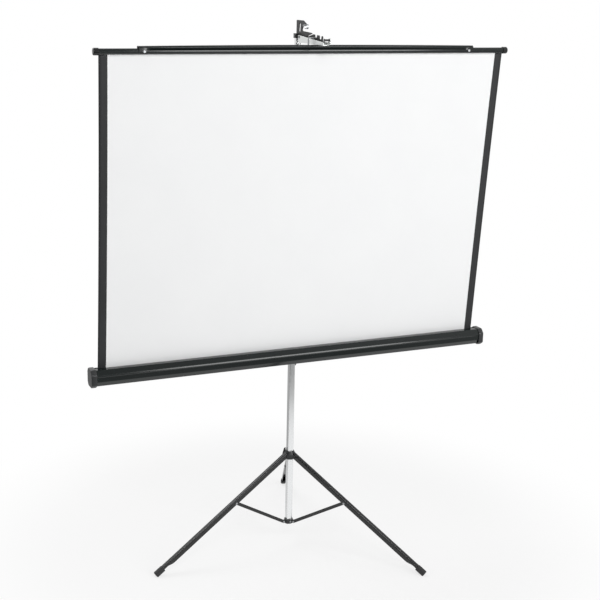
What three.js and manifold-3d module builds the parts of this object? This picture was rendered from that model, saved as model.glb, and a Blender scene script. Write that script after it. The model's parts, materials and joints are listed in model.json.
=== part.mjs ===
// Tripod projector screen: a square pole on three folding legs carries a screen case on a
// sliding carriage, and a telescopic tube with a notched arm holds the drawn sheet up.
// Millimetres. X runs along the case, -Y is the viewing side, +Z is up.
import * as THREE from 'three';
import { mergeVertices } from 'three/addons/utils/BufferGeometryUtils.js';
import Module from 'manifold-3d';

const wasm = await Module();
wasm.setup();

// Fits, cutters and facets
const seatGap = 0.3;
const tubePlay = 0.5;
const cutOverrun = 2;
const arcStep = THREE.MathUtils.degToRad(23);
const roundSides = 20;
const clothSides = 24;
const bailSteps = 12;
const pinSides = 10;

// Pole and telescopic tube
const poleSide = 22;
const poleWall = 1.5;
const poleCorner = 2.5;
const poleBottom = 84.5;
const poleTop = 1180;
const extensionWall = 1.3;
const extensionCorner = 2;
const extensionLength = 1136;

// Folding legs: the hub slides on the pole, the collar is fixed at its foot
const legCount = 3;
const firstLegAzimuth = THREE.MathUtils.degToRad(189);
const legSpread = THREE.MathUtils.degToRad(57);
const legLength = 656;
const soleDrop = 5.917;
const hubPivotRadius = 30;
const hubPivotHeight = legLength * Math.cos(legSpread) + soleDrop;
const collarPivotRadius = 24.8;
const collarPivotHeight = 92.3;
const braceReach = 255;
const legWidth = 18;
const legDepth = 19.5;
const legWall = 1.5;
const legCorner = 5;

// Screen case, and the sheet that fits it
const caseLength = 1576;
const caseDepth = 58;
const caseHeight = 60;
const caseWall = 1.4;
const caseCentreHeight = 790;
const sheetInset = 26;
const sheetWidth = caseLength - 2 * sheetInset;
const sheetDrawn = 1120;
const sheetWound = 500;
const sheetThickness = 0.6;
const sheetLean = THREE.MathUtils.degToRad(5.46);

// Bar at the head of the sheet
const barRadius = 10;
const barWall = 1.2;
const barOverhang = 13;
const barLength = sheetWidth + 2 * barOverhang;

const X = new THREE.Vector3(1, 0, 0);
const Y = new THREE.Vector3(0, 1, 0);
const Z = new THREE.Vector3(0, 0, 1);
// Outlines drawn across the part, by the axis that they are carried along
const alongX = new THREE.Matrix4().makeBasis(Y, Z, X);
const alongY = new THREE.Matrix4().makeBasis(X, Z, Y.clone().negate());
const alongZ = new THREE.Matrix4();
// Revolved profiles, by the axis that they turn about
const aboutX = new THREE.Matrix4().makeBasis(Y, X, Z.clone().negate());
const aboutY = new THREE.Matrix4();
const aboutZ = alongY;

// Finishes
const zincSteel = finish(0xc9cccb, 0.28, 1);
const blackPaint = finish(0x1b1d1e, 0.3, 0.1);
const casePaint = finish(0x22292a, 0.42, 0.1);
const blackPlastic = finish(0x1c1d1e, 0.5, 0);
const rubber = finish(0x161616, 0.8, 0);
const steel = finish(0x9a9c9e, 0.35, 1);
const whiteFabric = finish(0xf1f2f2, 0.9, 0);
const paleMetal = finish(0xd8dad8, 0.3, 1);

/** A plain finish with its colour, roughness and metalness. */
function finish(color, roughness, metalness) {
  return new THREE.MeshStandardMaterial({ color, roughness, metalness });
}

/** Turns a closed geometry into a solid that can be joined and cut. */
function solid(geometry, matrix = alongZ) {
  const bare = geometry.clone();
  bare.deleteAttribute('normal');
  bare.deleteAttribute('uv');
  bare.applyMatrix4(matrix);
  const welded = mergeVertices(bare);
  return new wasm.Manifold(new wasm.Mesh({
    numProp: 3,
    vertProperties: new Float32Array(welded.attributes.position.array),
    triVerts: new Uint32Array(welded.index.array),
  }));
}

/** Adds a solid to a group as a named mesh at a place of its own. */
function addPiece(parent, name, body, material, x = 0, y = 0, z = 0) {
  const mesh = body.getMesh();
  const geometry = new THREE.BufferGeometry();
  const places = new Float32Array(mesh.vertProperties);
  geometry.setAttribute('position', new THREE.BufferAttribute(places, mesh.numProp));
  geometry.setIndex(new THREE.BufferAttribute(new Uint32Array(mesh.triVerts), 1));
  geometry.computeVertexNormals();
  const piece = new THREE.Mesh(geometry, material);
  piece.name = name;
  piece.position.set(x, y, z);
  parent.add(piece);
  return piece;
}

/** Outline whose corners, given as [x, y, radius], are turned into arcs. */
function filleted(corners, closed = true) {
  const points = [];
  const count = corners.length;
  corners.forEach(([x, y, radius = 0], i) => {
    const here = new THREE.Vector2(x, y);
    if (radius === 0 || (!closed && (i === 0 || i === count - 1))) {
      points.push(here);
      return;
    }
    const before = new THREE.Vector2(...corners[(i + count - 1) % count].slice(0, 2)).sub(here);
    const after = new THREE.Vector2(...corners[(i + 1) % count].slice(0, 2)).sub(here);
    const room = Math.min(before.length(), after.length()) / 2;
    before.normalize();
    after.normalize();
    const half = Math.acos(THREE.MathUtils.clamp(before.dot(after), -1, 1)) / 2;
    const bend = Math.min(radius, room * Math.tan(half));
    const centre = before.clone().add(after).normalize().multiplyScalar(bend / Math.sin(half)).add(here);
    const start = before.multiplyScalar(bend / Math.tan(half)).add(here).sub(centre);
    const end = after.multiplyScalar(bend / Math.tan(half)).add(here).sub(centre);
    const sweep = Math.atan2(start.cross(end), start.dot(end));
    const steps = Math.max(1, Math.ceil(Math.abs(sweep) / arcStep));
    for (let k = 0; k <= steps; k += 1) {
      points.push(start.clone().rotateAround(new THREE.Vector2(), (sweep * k) / steps).add(centre));
    }
  });
  return points;
}

/** Closed outline of a bent strip of even thickness whose middle line is an open path. */
function stripOutline(path, thickness) {
  const edge = (side) => path.map((point, i) => {
    const into = point.clone().sub(path[Math.max(i - 1, 0)]).normalize();
    const out = path[Math.min(i + 1, path.length - 1)].clone().sub(point).normalize();
    const tangent = into.clone().add(out).normalize();
    const straight = i === 0 ? out : into;
    const reach = thickness / 2 / Math.max(tangent.dot(straight), Math.SQRT1_2);
    return new THREE.Vector2(-tangent.y, tangent.x).multiplyScalar(side * reach).add(point);
  });
  return [...edge(1), ...edge(-1).reverse()];
}

/** Rounded rectangle about the origin. */
function roundedBox(width, height, radius) {
  const [w, h] = [width / 2, height / 2];
  return filleted([[-w, -h, radius], [w, -h, radius], [w, h, radius], [-w, h, radius]]);
}

/** Arc points about a centre, both ends included. */
function arc(cx, cy, radius, from, to) {
  const steps = Math.max(2, Math.ceil(Math.abs(to - from) / arcStep));
  return Array.from({ length: steps + 1 }, (_, k) => {
    const angle = from + ((to - from) * k) / steps;
    return new THREE.Vector2(cx + radius * Math.cos(angle), cy + radius * Math.sin(angle));
  });
}

/** Solid of an outline carried both ways from its plane. */
function prism(points, depth, matrix = alongZ, x = 0, y = 0, z = 0) {
  const geometry = new THREE.ExtrudeGeometry(new THREE.Shape(points), { depth, bevelEnabled: false });
  geometry.translate(0, 0, -depth / 2);
  const place = new THREE.Matrix4().makeTranslation(x, y, z).multiply(matrix);
  return solid(geometry, place);
}

/** Solid of an outline with rounded rims, its full depth and full outline kept. */
function pillow(points, depth, rim, rimSteps, matrix = alongZ) {
  const geometry = new THREE.ExtrudeGeometry(new THREE.Shape(points), {
    depth: depth - 2 * rim,
    bevelThickness: rim,
    bevelSize: rim,
    bevelOffset: -rim,
    bevelSegments: rimSteps,
  });
  geometry.translate(0, 0, rim - depth / 2);
  return solid(geometry, matrix);
}

/** Solid of a profile of [radius, height] turned about an axis. */
function revolved(profile, matrix, sides = roundSides, x = 0, y = 0, z = 0) {
  const points = profile.map(([r, h]) => new THREE.Vector2(r, h));
  if (THREE.ShapeUtils.area(points) < 0) {
    points.reverse();
  }
  if (points[0].x > 0) {
    points.push(points[0].clone());
  }
  const place = new THREE.Matrix4().makeTranslation(x, y, z).multiply(matrix);
  return solid(new THREE.LatheGeometry(points, sides), place);
}

/** Plain round bar between two heights on its axis. */
function rod(radius, from, to, matrix, sides = pinSides, x = 0, y = 0, z = 0) {
  return revolved([[0, from], [radius, from], [radius, to], [0, to]], matrix, sides, x, y, z);
}

/** Round tube between two heights on its axis. */
function pipe(outer, inner, from, to, matrix, sides = roundSides) {
  return revolved([[inner, from], [outer, from], [outer, to], [inner, to]], matrix, sides);
}

/** Square tube standing on its lower end. */
function squareTube(side, wall, corner, length) {
  const outer = prism(roundedBox(side, side, corner), length);
  const bore = roundedBox(side - 2 * wall, side - 2 * wall, Math.max(corner - wall, wall / 2));
  return outer.subtract(prism(bore, length + 2 * cutOverrun)).translate([0, 0, length / 2]);
}

const extensionSide = poleSide - 2 * poleWall - 2 * tubePlay;
const sleeveBore = poleSide + 2 * seatGap;
const sleeveCorner = poleCorner + seatGap;

const stand = new THREE.Group();

// Pole, its foot plug and the lock housing at its top
const footPlug = { flange: 3, insert: 18, draft: 0.4 };
const lockHousing = { wall: 6, height: 52, below: 32, corner: 5, boss: 9, bossReach: 9, screwDrop: 11 };
const screwRadius = 3;
const knob = { radius: 14, depth: 13, lobe: 1.8, rim: 2.5, neck: 7, neckLength: 5 };
const knobLobes = 6;
const knobSteps = 30;

/** Hole through the collar and the pole into the plug, for the screw that holds them together. */
function collarScrewHole() {
  return rod(collarScrew.radius + seatGap, -(collar.radius + cutOverrun), seatGap - collarScrew.reach, aboutY)
    .translate([collarScrew.x, 0, collarPivotHeight]);
}

function buildPole() {
  const tube = squareTube(poleSide, poleWall, poleCorner, poleTop - poleBottom)
    .subtract(collarScrewHole().translate([0, 0, -poleBottom]));
  addPiece(stand, 'pole_tube', tube, zincSteel, 0, 0, poleBottom);

  const flange = prism(roundedBox(poleSide, poleSide, poleCorner), footPlug.flange)
    .translate([0, 0, -footPlug.flange / 2]);
  const insertSide = poleSide - 2 * poleWall - 2 * footPlug.draft;
  const insert = prism(roundedBox(insertSide, insertSide, poleCorner), footPlug.insert + footPlug.flange)
    .translate([0, 0, (footPlug.insert - footPlug.flange) / 2]);
  const plug = flange.add(insert).subtract(collarScrewHole().translate([0, 0, seatGap - poleBottom]));
  addPiece(stand, 'pole_foot_plug', plug, blackPlastic, 0, 0, poleBottom - seatGap);
}

/** Fluted knob on its screw, along -Y from the knob's inner face, the screw tip first. */
function knobOnScrew(screwLength) {
  const flutes = Array.from({ length: knobSteps }, (_, k) => {
    const angle = (2 * Math.PI * k) / knobSteps;
    const radius = knob.radius - (knob.lobe * (1 - Math.cos(knobLobes * angle))) / 2;
    return new THREE.Vector2(radius * Math.cos(angle), radius * Math.sin(angle));
  });
  const grip = pillow(flutes, knob.depth, knob.rim, 2, alongY)
    .translate([0, knob.neckLength + knob.depth / 2, 0]);
  const neck = rod(knob.neck, 0, knob.neckLength + knob.rim, aboutY);
  const screw = rod(screwRadius, -screwLength, knob.neckLength, aboutY);
  return grip.add(neck).add(screw);
}

function buildExtensionLock() {
  const side = poleSide + 2 * lockHousing.wall;
  const faceY = side / 2 + lockHousing.bossReach;
  const screwHeight = poleTop + lockHousing.height - lockHousing.below - lockHousing.screwDrop;
  const lowerDepth = lockHousing.below + seatGap + cutOverrun;
  const lowerBore = prism(roundedBox(sleeveBore, sleeveBore, sleeveCorner), lowerDepth)
    .translate([0, 0, poleTop + seatGap - lowerDepth / 2]);
  const upperSide = extensionSide + 2 * seatGap;
  const upperDepth = lockHousing.height + cutOverrun;
  const upperBore = prism(roundedBox(upperSide, upperSide, extensionCorner), upperDepth)
    .translate([0, 0, poleTop + upperDepth / 2]);
  const block = prism(roundedBox(side, side, lockHousing.corner), lockHousing.height)
    .translate([0, 0, poleTop - lockHousing.below + lockHousing.height / 2]);
  const boss = rod(lockHousing.boss, (side - lockHousing.wall) / 2, faceY, aboutY, roundSides)
    .translate([0, 0, screwHeight]);
  const screwHole = rod(screwRadius + seatGap, 0, faceY + cutOverrun, aboutY)
    .translate([0, 0, screwHeight]);
  const housing = block.add(boss).subtract(lowerBore).subtract(upperBore).subtract(screwHole);
  addPiece(stand, 'extension_lock_housing', housing, blackPlastic);

  const screwLength = faceY + seatGap - extensionSide / 2 - seatGap;
  const knobBody = knobOnScrew(screwLength);
  addPiece(stand, 'extension_lock_knob', knobBody, blackPlastic, 0, faceY + seatGap, screwHeight);
}

// Hub and collar: a barrel on the pole with one lug for each leg or brace
const hub = {
  radius: 23, core: 18.5, slotPlay: 1, below: 7, shoulder: 10, above: 24, neck: 16, lug: 12, root: 7,
  boss: 4.6,
};
const collar = { radius: 17, below: 9, above: 9, lug: 7.6, rootAbove: 7, pinHead: 1.2 };
const collarScrew = { x: 1, radius: 2, head: 3.6, headHeight: 1.8, reach: 5 };
const pinRadius = 2;
const legPin = { radius: 2.5, head: 4.6, headHeight: 1.8, shoulder: 4 };
const brace = { width: 11, depth: 11.5, wall: 1.2, corner: 2 };
const shoe = { side: 21.5, length: 38, grip: 25, corner: 7, rim: 3.5, wall: 1.3 };
const taper = { length: 34, neck: 11.7, neckLength: 14 };
const legInner = legWidth - 2 * legWall;
const hubNose = channelRoom(legWidth, legDepth, legWall, legCorner, hub.lug / 2) - 2 * seatGap;
const collarNose = channelRoom(brace.width, brace.depth, brace.wall, brace.corner, collar.lug / 2) - seatGap;

const legTurn = Math.PI / 2 - legSpread;
const pivotOffset = hubPivotRadius - collarPivotRadius;
const alongLeg = new THREE.Vector2(Math.sin(legSpread), -Math.cos(legSpread));
const inwards = new THREE.Vector2(-Math.cos(legSpread), -Math.sin(legSpread));
const bracePoint = new THREE.Vector2(hubPivotRadius, hubPivotHeight)
  .addScaledVector(alongLeg, braceReach)
  .addScaledVector(inwards, pivotOffset);
const braceLine = bracePoint.clone().sub(new THREE.Vector2(collarPivotRadius, collarPivotHeight));
const braceLength = braceLine.length();
const braceRise = braceLine.angle();

/** Free height between a channel's middle and its web, at a distance from its middle plane. */
function channelRoom(width, depth, wall, corner, sideways) {
  const bend = corner - wall / 2;
  const inset = Math.max(0, sideways - (width / 2 - wall - bend));
  return depth / 2 - wall - bend + Math.sqrt(Math.max(0, bend ** 2 - inset ** 2));
}

/** Barrel with a square bore, narrowing above its shoulder, about the height of its pivots. */
function barrel(radius, below, shoulder, above, neck) {
  const height = below + above;
  const profile = [[0, -below], [radius, -below], [radius, shoulder], [neck, above], [0, above]];
  const body = revolved(profile, aboutZ);
  const bore = prism(roundedBox(sleeveBore, sleeveBore, sleeveCorner), height + 2 * cutOverrun);
  return body.subtract(bore.translate([0, 0, (above - below) / 2]));
}

/** Turns a solid drawn for one leg to each leg's azimuth. */
function forEachLeg(action) {
  for (let k = 0; k < legCount; k += 1) {
    action(firstLegAzimuth + (2 * Math.PI * k) / legCount, ['left', 'right', 'rear'][k] ?? `leg${k}`);
  }
}

const latch = {
  azimuth: THREE.MathUtils.degToRad(129), radius: 23.5, rise: 8, width: 8, ear: 3, nose: 5, slot: 20,
  slotHeight: 40, tab: 24, tabOut: 0,
};

function buildHub() {
  let body = barrel(hub.radius, hub.below, hub.shoulder, hub.above, hub.neck);
  const legSlot = legWidth + 2 * hub.slotPlay;
  const rootRadius = hub.core - legWall;
  const lugOutline = [
    new THREE.Vector2(rootRadius, -hub.root),
    ...arc(hubPivotRadius, 0, hubNose, -Math.PI / 2, Math.PI / 2),
    new THREE.Vector2(rootRadius, hub.root),
  ];
  forEachLeg((azimuth) => {
    const lug = prism(lugOutline, hub.lug, alongY);
    const bossSide = legInner / 2 - seatGap;
    const boss = rod(hub.boss, -bossSide, bossSide, aboutY, pinSides, hubPivotRadius, 0, 0);
    const slotHeight = 2 * (hub.below + hub.above);
    const slot = solid(new THREE.BoxGeometry(hub.radius, legSlot, slotHeight))
      .translate([hub.core + hub.radius / 2, 0, 0]);
    const turn = [0, 0, THREE.MathUtils.radToDeg(azimuth)];
    body = body.subtract(slot.rotate(turn)).add(lug.add(boss).rotate(turn));
  });
  const earOutline = [
    new THREE.Vector2(rootRadius, latch.rise - latch.nose),
    ...arc(latch.radius, latch.rise, latch.nose, -Math.PI / 2, Math.PI / 2),
    new THREE.Vector2(rootRadius, latch.rise + latch.nose),
  ];
  const earBlock = prism(earOutline, latch.width + 2 * seatGap + 2 * latch.ear, alongY);
  const earSlotOutline = roundedBox(latch.slot, latch.slotHeight, latch.ear);
  const earSlot = prism(earSlotOutline, latch.width + 2 * seatGap, alongY)
    .translate([latch.radius, 0, latch.rise + (latch.slotHeight - latch.slot) / 2]);
  const pinHole = rod(pinRadius + seatGap, -latch.slot / 2, latch.slot / 2, aboutY)
    .translate([latch.radius, 0, latch.rise]);
  const turn = [0, 0, THREE.MathUtils.radToDeg(latch.azimuth)];
  body = body.add(earBlock.rotate(turn)).subtract(earSlot.add(pinHole).rotate(turn));
  addPiece(stand, 'leg_hub', body, blackPlastic, 0, 0, hubPivotHeight);
}

function buildHubLatch() {
  const side = new THREE.Group();
  side.rotation.z = latch.azimuth;
  stand.add(side);
  const outline = filleted([
    [-latch.nose + seatGap, -latch.nose + seatGap, latch.ear],
    [latch.nose - seatGap, -latch.nose + seatGap, latch.ear],
    [latch.nose, latch.nose, latch.nose],
    [latch.tabOut, latch.tab - latch.ear, latch.ear],
    [latch.tabOut - latch.ear, latch.tab, latch.ear],
    [-latch.nose + seatGap, latch.nose, latch.nose],
  ]);
  const halfPin = latch.width / 2 + seatGap + latch.ear;
  const lever = prism(outline, latch.width, alongY).add(rod(pinRadius, -halfPin, halfPin, aboutY));
  addPiece(side, 'hub_latch_lever', lever, blackPlastic, latch.radius, 0, hubPivotHeight + latch.rise);
}

function buildCollar() {
  const bevel = collar.pinHead;
  let body = barrel(collar.radius, collar.below, collar.above - bevel, collar.above, collar.radius - bevel);
  const rootRadius = collar.radius - legWall;
  const outline = [
    new THREE.Vector2(rootRadius, -collarNose),
    ...arc(collarPivotRadius, 0, collarNose, -Math.PI / 2, Math.PI / 2),
    new THREE.Vector2(rootRadius, collar.rootAbove),
  ];
  forEachLeg((azimuth) => {
    const lug = prism(outline, collar.lug, alongY);
    const hole = rod(pinRadius + seatGap, -collar.lug, collar.lug, aboutY, pinSides, collarPivotRadius, 0, 0);
    body = body.add(lug.rotate([0, 0, THREE.MathUtils.radToDeg(azimuth)]))
      .subtract(hole.rotate([0, 0, THREE.MathUtils.radToDeg(azimuth)]));
  });
  const screwHole = collarScrewHole().translate([0, 0, -collarPivotHeight]);
  addPiece(stand, 'brace_collar', body.subtract(screwHole), blackPlastic, 0, 0, collarPivotHeight);

  const inner = -(collar.radius + seatGap);
  const outer = inner - collarScrew.headHeight;
  const rim = inner - collarScrew.headHeight / 2;
  const screw = revolved([
    [0, outer], [collarScrew.head, rim], [collarScrew.head, inner], [collarScrew.radius, inner],
    [collarScrew.radius, -collarScrew.reach], [0, -collarScrew.reach],
  ], aboutY, pinSides);
  addPiece(stand, 'collar_screw', screw, steel, collarScrew.x, 0, collarPivotHeight);
}

/** Open channel of even wall along +X, its web on the +Z side, drawn by its outer size. */
function channel(width, depth, wall, corner, from, to) {
  const w = (width - wall) / 2;
  const top = (depth - wall) / 2;
  const path = filleted([[-w, -depth / 2], [-w, top, corner], [w, top, corner], [w, -depth / 2]], false);
  return prism(stripOutline(path, wall), to - from, alongX, (from + to) / 2);
}

/** Outline of a bar seen from its side, round at each end about its pivots. */
function linkOutline(length, depth) {
  const r = depth / 2;
  return [...arc(length, 0, r, -Math.PI / 2, Math.PI / 2), ...arc(0, 0, r, Math.PI / 2, (3 * Math.PI) / 2)];
}

/** Folded channel leg: its head cut upright beside the hub's core, its flanges drawn up behind the shoe. */
function legChannel() {
  const half = legDepth / 2;
  const headRoom = hubPivotRadius - hub.core - seatGap;
  const end = legLength - shoe.length + shoe.grip;
  const neckStart = legLength - shoe.length - taper.neckLength;
  const neckFloor = half - taper.neck;
  const ease = new THREE.CubicBezierCurve(
    new THREE.Vector2(neckStart - taper.length, -half),
    new THREE.Vector2(neckStart - taper.length / 2, -half),
    new THREE.Vector2(neckStart - taper.length / 3, neckFloor),
    new THREE.Vector2(neckStart, neckFloor),
  ).getPoints(6);
  const side = [
    ...ease,
    new THREE.Vector2(end, neckFloor),
    new THREE.Vector2(end, half + cutOverrun),
    new THREE.Vector2(-legDepth - headRoom, half + cutOverrun),
    ...arc(0, 0, headRoom, -Math.PI + legTurn, -Math.asin(half / headRoom)).reverse().slice(1).reverse(),
  ];
  const headNormal = [Math.cos(legTurn), 0, Math.sin(legTurn)];
  let leg = channel(legWidth, legDepth, legWall, legCorner, -legDepth - headRoom, end)
    .intersect(prism(side, legWidth + cutOverrun, alongY))
    .trimByPlane(headNormal, -headRoom);
  [-1, 1].forEach((sideways) => {
    const head = revolved(
      [[0, -legWall / 2], [legPin.head, -legWall / 2], [legPin.head, legWall / 2],
        [legPin.head / 2, legPin.headHeight], [0, legPin.headHeight]],
      aboutY,
      pinSides,
    );
    const domed = sideways > 0 ? head : head.rotate([180, 0, 0]);
    leg = leg.add(domed.translate([0, sideways * (legWidth / 2), 0]));
  });
  const pinHole = rod(legPin.radius + seatGap, -legWidth, legWidth, aboutY);
  return leg.subtract(pinHole.translate([braceReach, 0, -pivotOffset]));
}

/** Rubber shoe over the neck of a leg, cut flat where it stands on the floor. */
function legShoe() {
  const centre = legLength - shoe.length / 2;
  const middle = legDepth / 2 + shoe.wall - shoe.side / 2;
  const outline = roundedBox(shoe.side, shoe.side, shoe.corner);
  const body = pillow(outline, shoe.length, shoe.rim, 3, alongX).translate([centre, 0, middle]);
  const pocketHeight = taper.neck + 2 * seatGap;
  const pocketLength = shoe.grip + cutOverrun;
  const [w, h] = [legWidth / 2 + seatGap, pocketHeight / 2];
  const pocketOutline = filleted([[-w, -h], [w, -h], [w, h, legCorner], [-w, h, legCorner]]);
  const pocketStart = legLength - shoe.length - cutOverrun + seatGap;
  const pocket = prism(pocketOutline, pocketLength, alongX)
    .translate([pocketStart + pocketLength / 2, 0, (legDepth - taper.neck) / 2]);
  const floorNormal = [-Math.cos(legSpread), 0, Math.sin(legSpread)];
  return body.subtract(pocket).trimByPlane(floorNormal, -hubPivotHeight);
}

/** Brace: a narrow channel, open upwards, round about both pivots. */
function braceChannel() {
  const half = brace.depth / 2;
  const open = channel(brace.width, brace.depth, brace.wall, brace.corner, -half, braceLength + half)
    .rotate([180, 0, 0]);
  const side = prism(linkOutline(braceLength, brace.depth), brace.width + cutOverrun, alongY);
  const lowHole = rod(pinRadius + seatGap, -brace.width, brace.width, aboutY);
  const highHole = rod(legPin.radius + seatGap, -brace.width, brace.width, aboutY)
    .translate([braceLength, 0, 0]);
  return open.intersect(side).subtract(lowHole).subtract(highHole);
}

/** Rivet through both walls of a brace and the lug between them. */
function collarPin() {
  const reach = brace.width / 2 + seatGap;
  const rim = reach + collar.pinHead / 2;
  const crown = reach + collar.pinHead;
  return revolved([
    [0, -crown], [legPin.shoulder, -rim], [legPin.shoulder, -reach], [pinRadius, -reach],
    [pinRadius, reach], [legPin.shoulder, reach], [legPin.shoulder, rim], [0, crown],
  ], aboutY, pinSides);
}

/** Shouldered rivet that spaces a brace in the middle of its leg. */
function bracePin() {
  const inner = brace.width / 2 + seatGap;
  const spacer = legInner / 2 - seatGap;
  const outer = legWidth / 2 + seatGap;
  const rim = outer + legPin.headHeight / 2;
  const crown = outer + legPin.headHeight;
  const half = [
    [legPin.radius, inner], [legPin.shoulder, inner], [legPin.shoulder, spacer], [legPin.radius, spacer],
    [legPin.radius, outer], [legPin.head, outer], [legPin.head, rim], [0, crown],
  ];
  const mirrored = half.map(([r, h]) => [r, -h]).reverse();
  return revolved([...mirrored, ...half], aboutY, pinSides);
}

function buildLegs() {
  forEachLeg((azimuth, side) => {
    const plane = new THREE.Group();
    plane.rotation.z = azimuth;
    stand.add(plane);

    const legFrame = new THREE.Group();
    legFrame.position.set(hubPivotRadius, 0, hubPivotHeight);
    legFrame.rotation.y = legTurn;
    plane.add(legFrame);
    addPiece(legFrame, `leg_${side}`, legChannel(), blackPaint);
    addPiece(legFrame, `shoe_${side}`, legShoe(), rubber);
    addPiece(legFrame, `brace_pin_${side}`, bracePin(), steel, braceReach, 0, -pivotOffset);

    const braceFrame = new THREE.Group();
    braceFrame.position.set(collarPivotRadius, 0, collarPivotHeight);
    braceFrame.rotation.y = -braceRise;
    plane.add(braceFrame);
    addPiece(braceFrame, `brace_${side}`, braceChannel(), blackPaint);
    addPiece(plane, `collar_pin_${side}`, collarPin(), steel, collarPivotRadius, 0, collarPivotHeight);
  });
}

// Carriage that carries the case on the pole, with its swivel
const carriage = { wall: 5.2, corner: 3.5, below: 38, above: 60 };
const swivel = { radius: 21, thickness: 3.5, bolt: 4, head: 8, headHeight: 3.4 };
const caseBracket = { depth: 8.1, width: 84, height: 40, corner: 6, relief: 64 };
const caseLatch = { radius: 4.5, width: 7, height: -18, knee: 22, drop: 41, inwards: 4.9 };

const carriageFace = sleeveBore / 2 + carriage.wall;
const washerBack = carriageFace + seatGap;
const bracketBack = washerBack + swivel.thickness + seatGap;
const caseBack = bracketBack + caseBracket.depth + seatGap;
const caseCentreY = -(caseBack + caseDepth / 2);

function buildCarriage() {
  const height = carriage.below + carriage.above;
  const side = 2 * carriageFace;
  const middle = (carriage.above - carriage.below) / 2;
  const block = prism(roundedBox(side, side, carriage.corner), height).translate([0, 0, middle]);
  const bore = prism(roundedBox(sleeveBore, sleeveBore, sleeveCorner), height + 2 * cutOverrun)
    .translate([0, 0, middle]);
  const boltHole = rod(swivel.bolt + seatGap, -carriageFace - cutOverrun, 0, aboutY);
  const earDepth = caseLatch.width + 2 * seatGap;
  const pivotX = carriageFace + caseLatch.radius;
  const ear = prism(
    [
      new THREE.Vector2(carriageFace - carriage.wall / 2, caseLatch.height - caseLatch.radius),
      ...arc(pivotX, caseLatch.height, caseLatch.radius, -Math.PI / 2, Math.PI / 2),
      new THREE.Vector2(carriageFace - carriage.wall / 2, caseLatch.height + caseLatch.radius),
    ],
    earDepth + 2 * carriage.wall,
    alongY,
  );
  const earGap = prism(roundedBox(side, side / 2, carriage.corner), earDepth, alongY)
    .translate([carriageFace + side / 2, 0, caseLatch.height]);
  const pinHole = rod(pinRadius + seatGap, -side, side, aboutY, pinSides, pivotX, 0, caseLatch.height);
  const body = block.add(ear.subtract(earGap).subtract(pinHole)).subtract(bore).subtract(boltHole);
  addPiece(stand, 'case_carriage', body, blackPlastic, 0, 0, caseCentreHeight);

  const r = caseLatch.radius - seatGap;
  const lever = prism(
    filleted([
      [-r, -caseLatch.knee, r / 2],
      [-r - caseLatch.inwards, -caseLatch.drop, r / 2],
      [r - 2 * caseLatch.inwards, -caseLatch.drop, r / 2],
      [r, -caseLatch.knee, r / 2],
      [r, r, r],
      [-r, r, r],
    ]),
    caseLatch.width,
    alongY,
  ).add(rod(pinRadius, -(earDepth / 2 + carriage.wall), earDepth / 2 + carriage.wall, aboutY));
  addPiece(stand, 'case_latch_lever', lever, blackPlastic, pivotX, 0, caseCentreHeight + caseLatch.height);
}

function buildSwivel() {
  const halfWasher = swivel.thickness / 2;
  const washer = pipe(swivel.radius, swivel.bolt + seatGap, -halfWasher, halfWasher, aboutY);
  addPiece(stand, 'swivel_washer', washer, blackPlastic, 0, -(washerBack + halfWasher), caseCentreHeight);

  const outline = roundedBox(caseBracket.width, caseBracket.height, caseBracket.corner);
  const inner = prism(
    roundedBox(caseBracket.relief, caseBracket.height + 2 * cutOverrun, 0),
    caseBracket.depth,
    alongY,
  );
  const relief = inner.translate([0, swivel.headHeight + seatGap - caseBracket.depth, 0]);
  const boltHole = rod(swivel.bolt + seatGap, -caseBracket.depth, caseBracket.depth, aboutY);
  const padded = prism(outline, caseBracket.depth, alongY).subtract(relief).subtract(boltHole);
  const bracketY = -(bracketBack + caseBracket.depth / 2);
  addPiece(stand, 'case_bracket', padded, blackPaint, 0, bracketY, caseCentreHeight);

  const headFront = -(bracketBack + caseBracket.depth);
  const headBack = headFront + swivel.headHeight;
  const tip = -(poleSide / 2 + 2 * seatGap);
  const bolt = revolved([
    [0, headFront], [swivel.head, headFront], [swivel.head, headBack], [swivel.bolt, headBack],
    [swivel.bolt, tip], [0, tip],
  ], aboutY, roundSides);
  addPiece(stand, 'swivel_bolt', bolt, steel, 0, 0, caseCentreHeight);
}

// Case shell: a rolled section with a ridge along its front and a slot for the sheet at its top
const sectionShare = {
  slotFront: 0.33, slotBack: 0.6, slotDrop: 0.74, top: 1, frontTop: -0.5, shoulder: [-0.9, 0.52],
  ridgeTop: [-0.93, 0.06], ridge: [-1, 0.02], ridgeLow: [-1, -0.03], ridgeBottom: [-0.93, -0.07],
  chin: [-0.84, -0.66], bottomFront: [-0.5, -1], bottomBack: [0.62, -1], backLow: [1, -0.6],
  backTop: [1, 0.66], backShoulder: [0.72, 1],
};
const sectionRadius = { shoulder: 7, chin: 6, bottom: 5, back: 6, lip: 2 };

/** Middle line of the case wall, from the front lip of the slot round to its back lip. */
function caseLine() {
  const [d, h] = [(caseDepth - caseWall) / 2, (caseHeight - caseWall) / 2];
  const s = sectionShare;
  const r = sectionRadius;
  const at = ([v, w], radius = 0) => [v * d, w * h, radius];
  return filleted([
    at([s.slotFront, s.slotDrop]),
    at([s.slotFront, s.top], r.lip),
    at([s.frontTop, s.top], r.shoulder),
    at(s.shoulder, r.shoulder),
    at(s.ridgeTop),
    at(s.ridge),
    at(s.ridgeLow),
    at(s.ridgeBottom),
    at(s.chin, r.chin),
    at(s.bottomFront, r.bottom),
    at(s.bottomBack, r.bottom),
    at(s.backLow, r.back),
    at(s.backTop, r.back),
    at(s.backShoulder, r.back),
    at([s.slotBack, s.top], r.lip),
    at([s.slotBack, s.slotDrop]),
  ], false);
}

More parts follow.
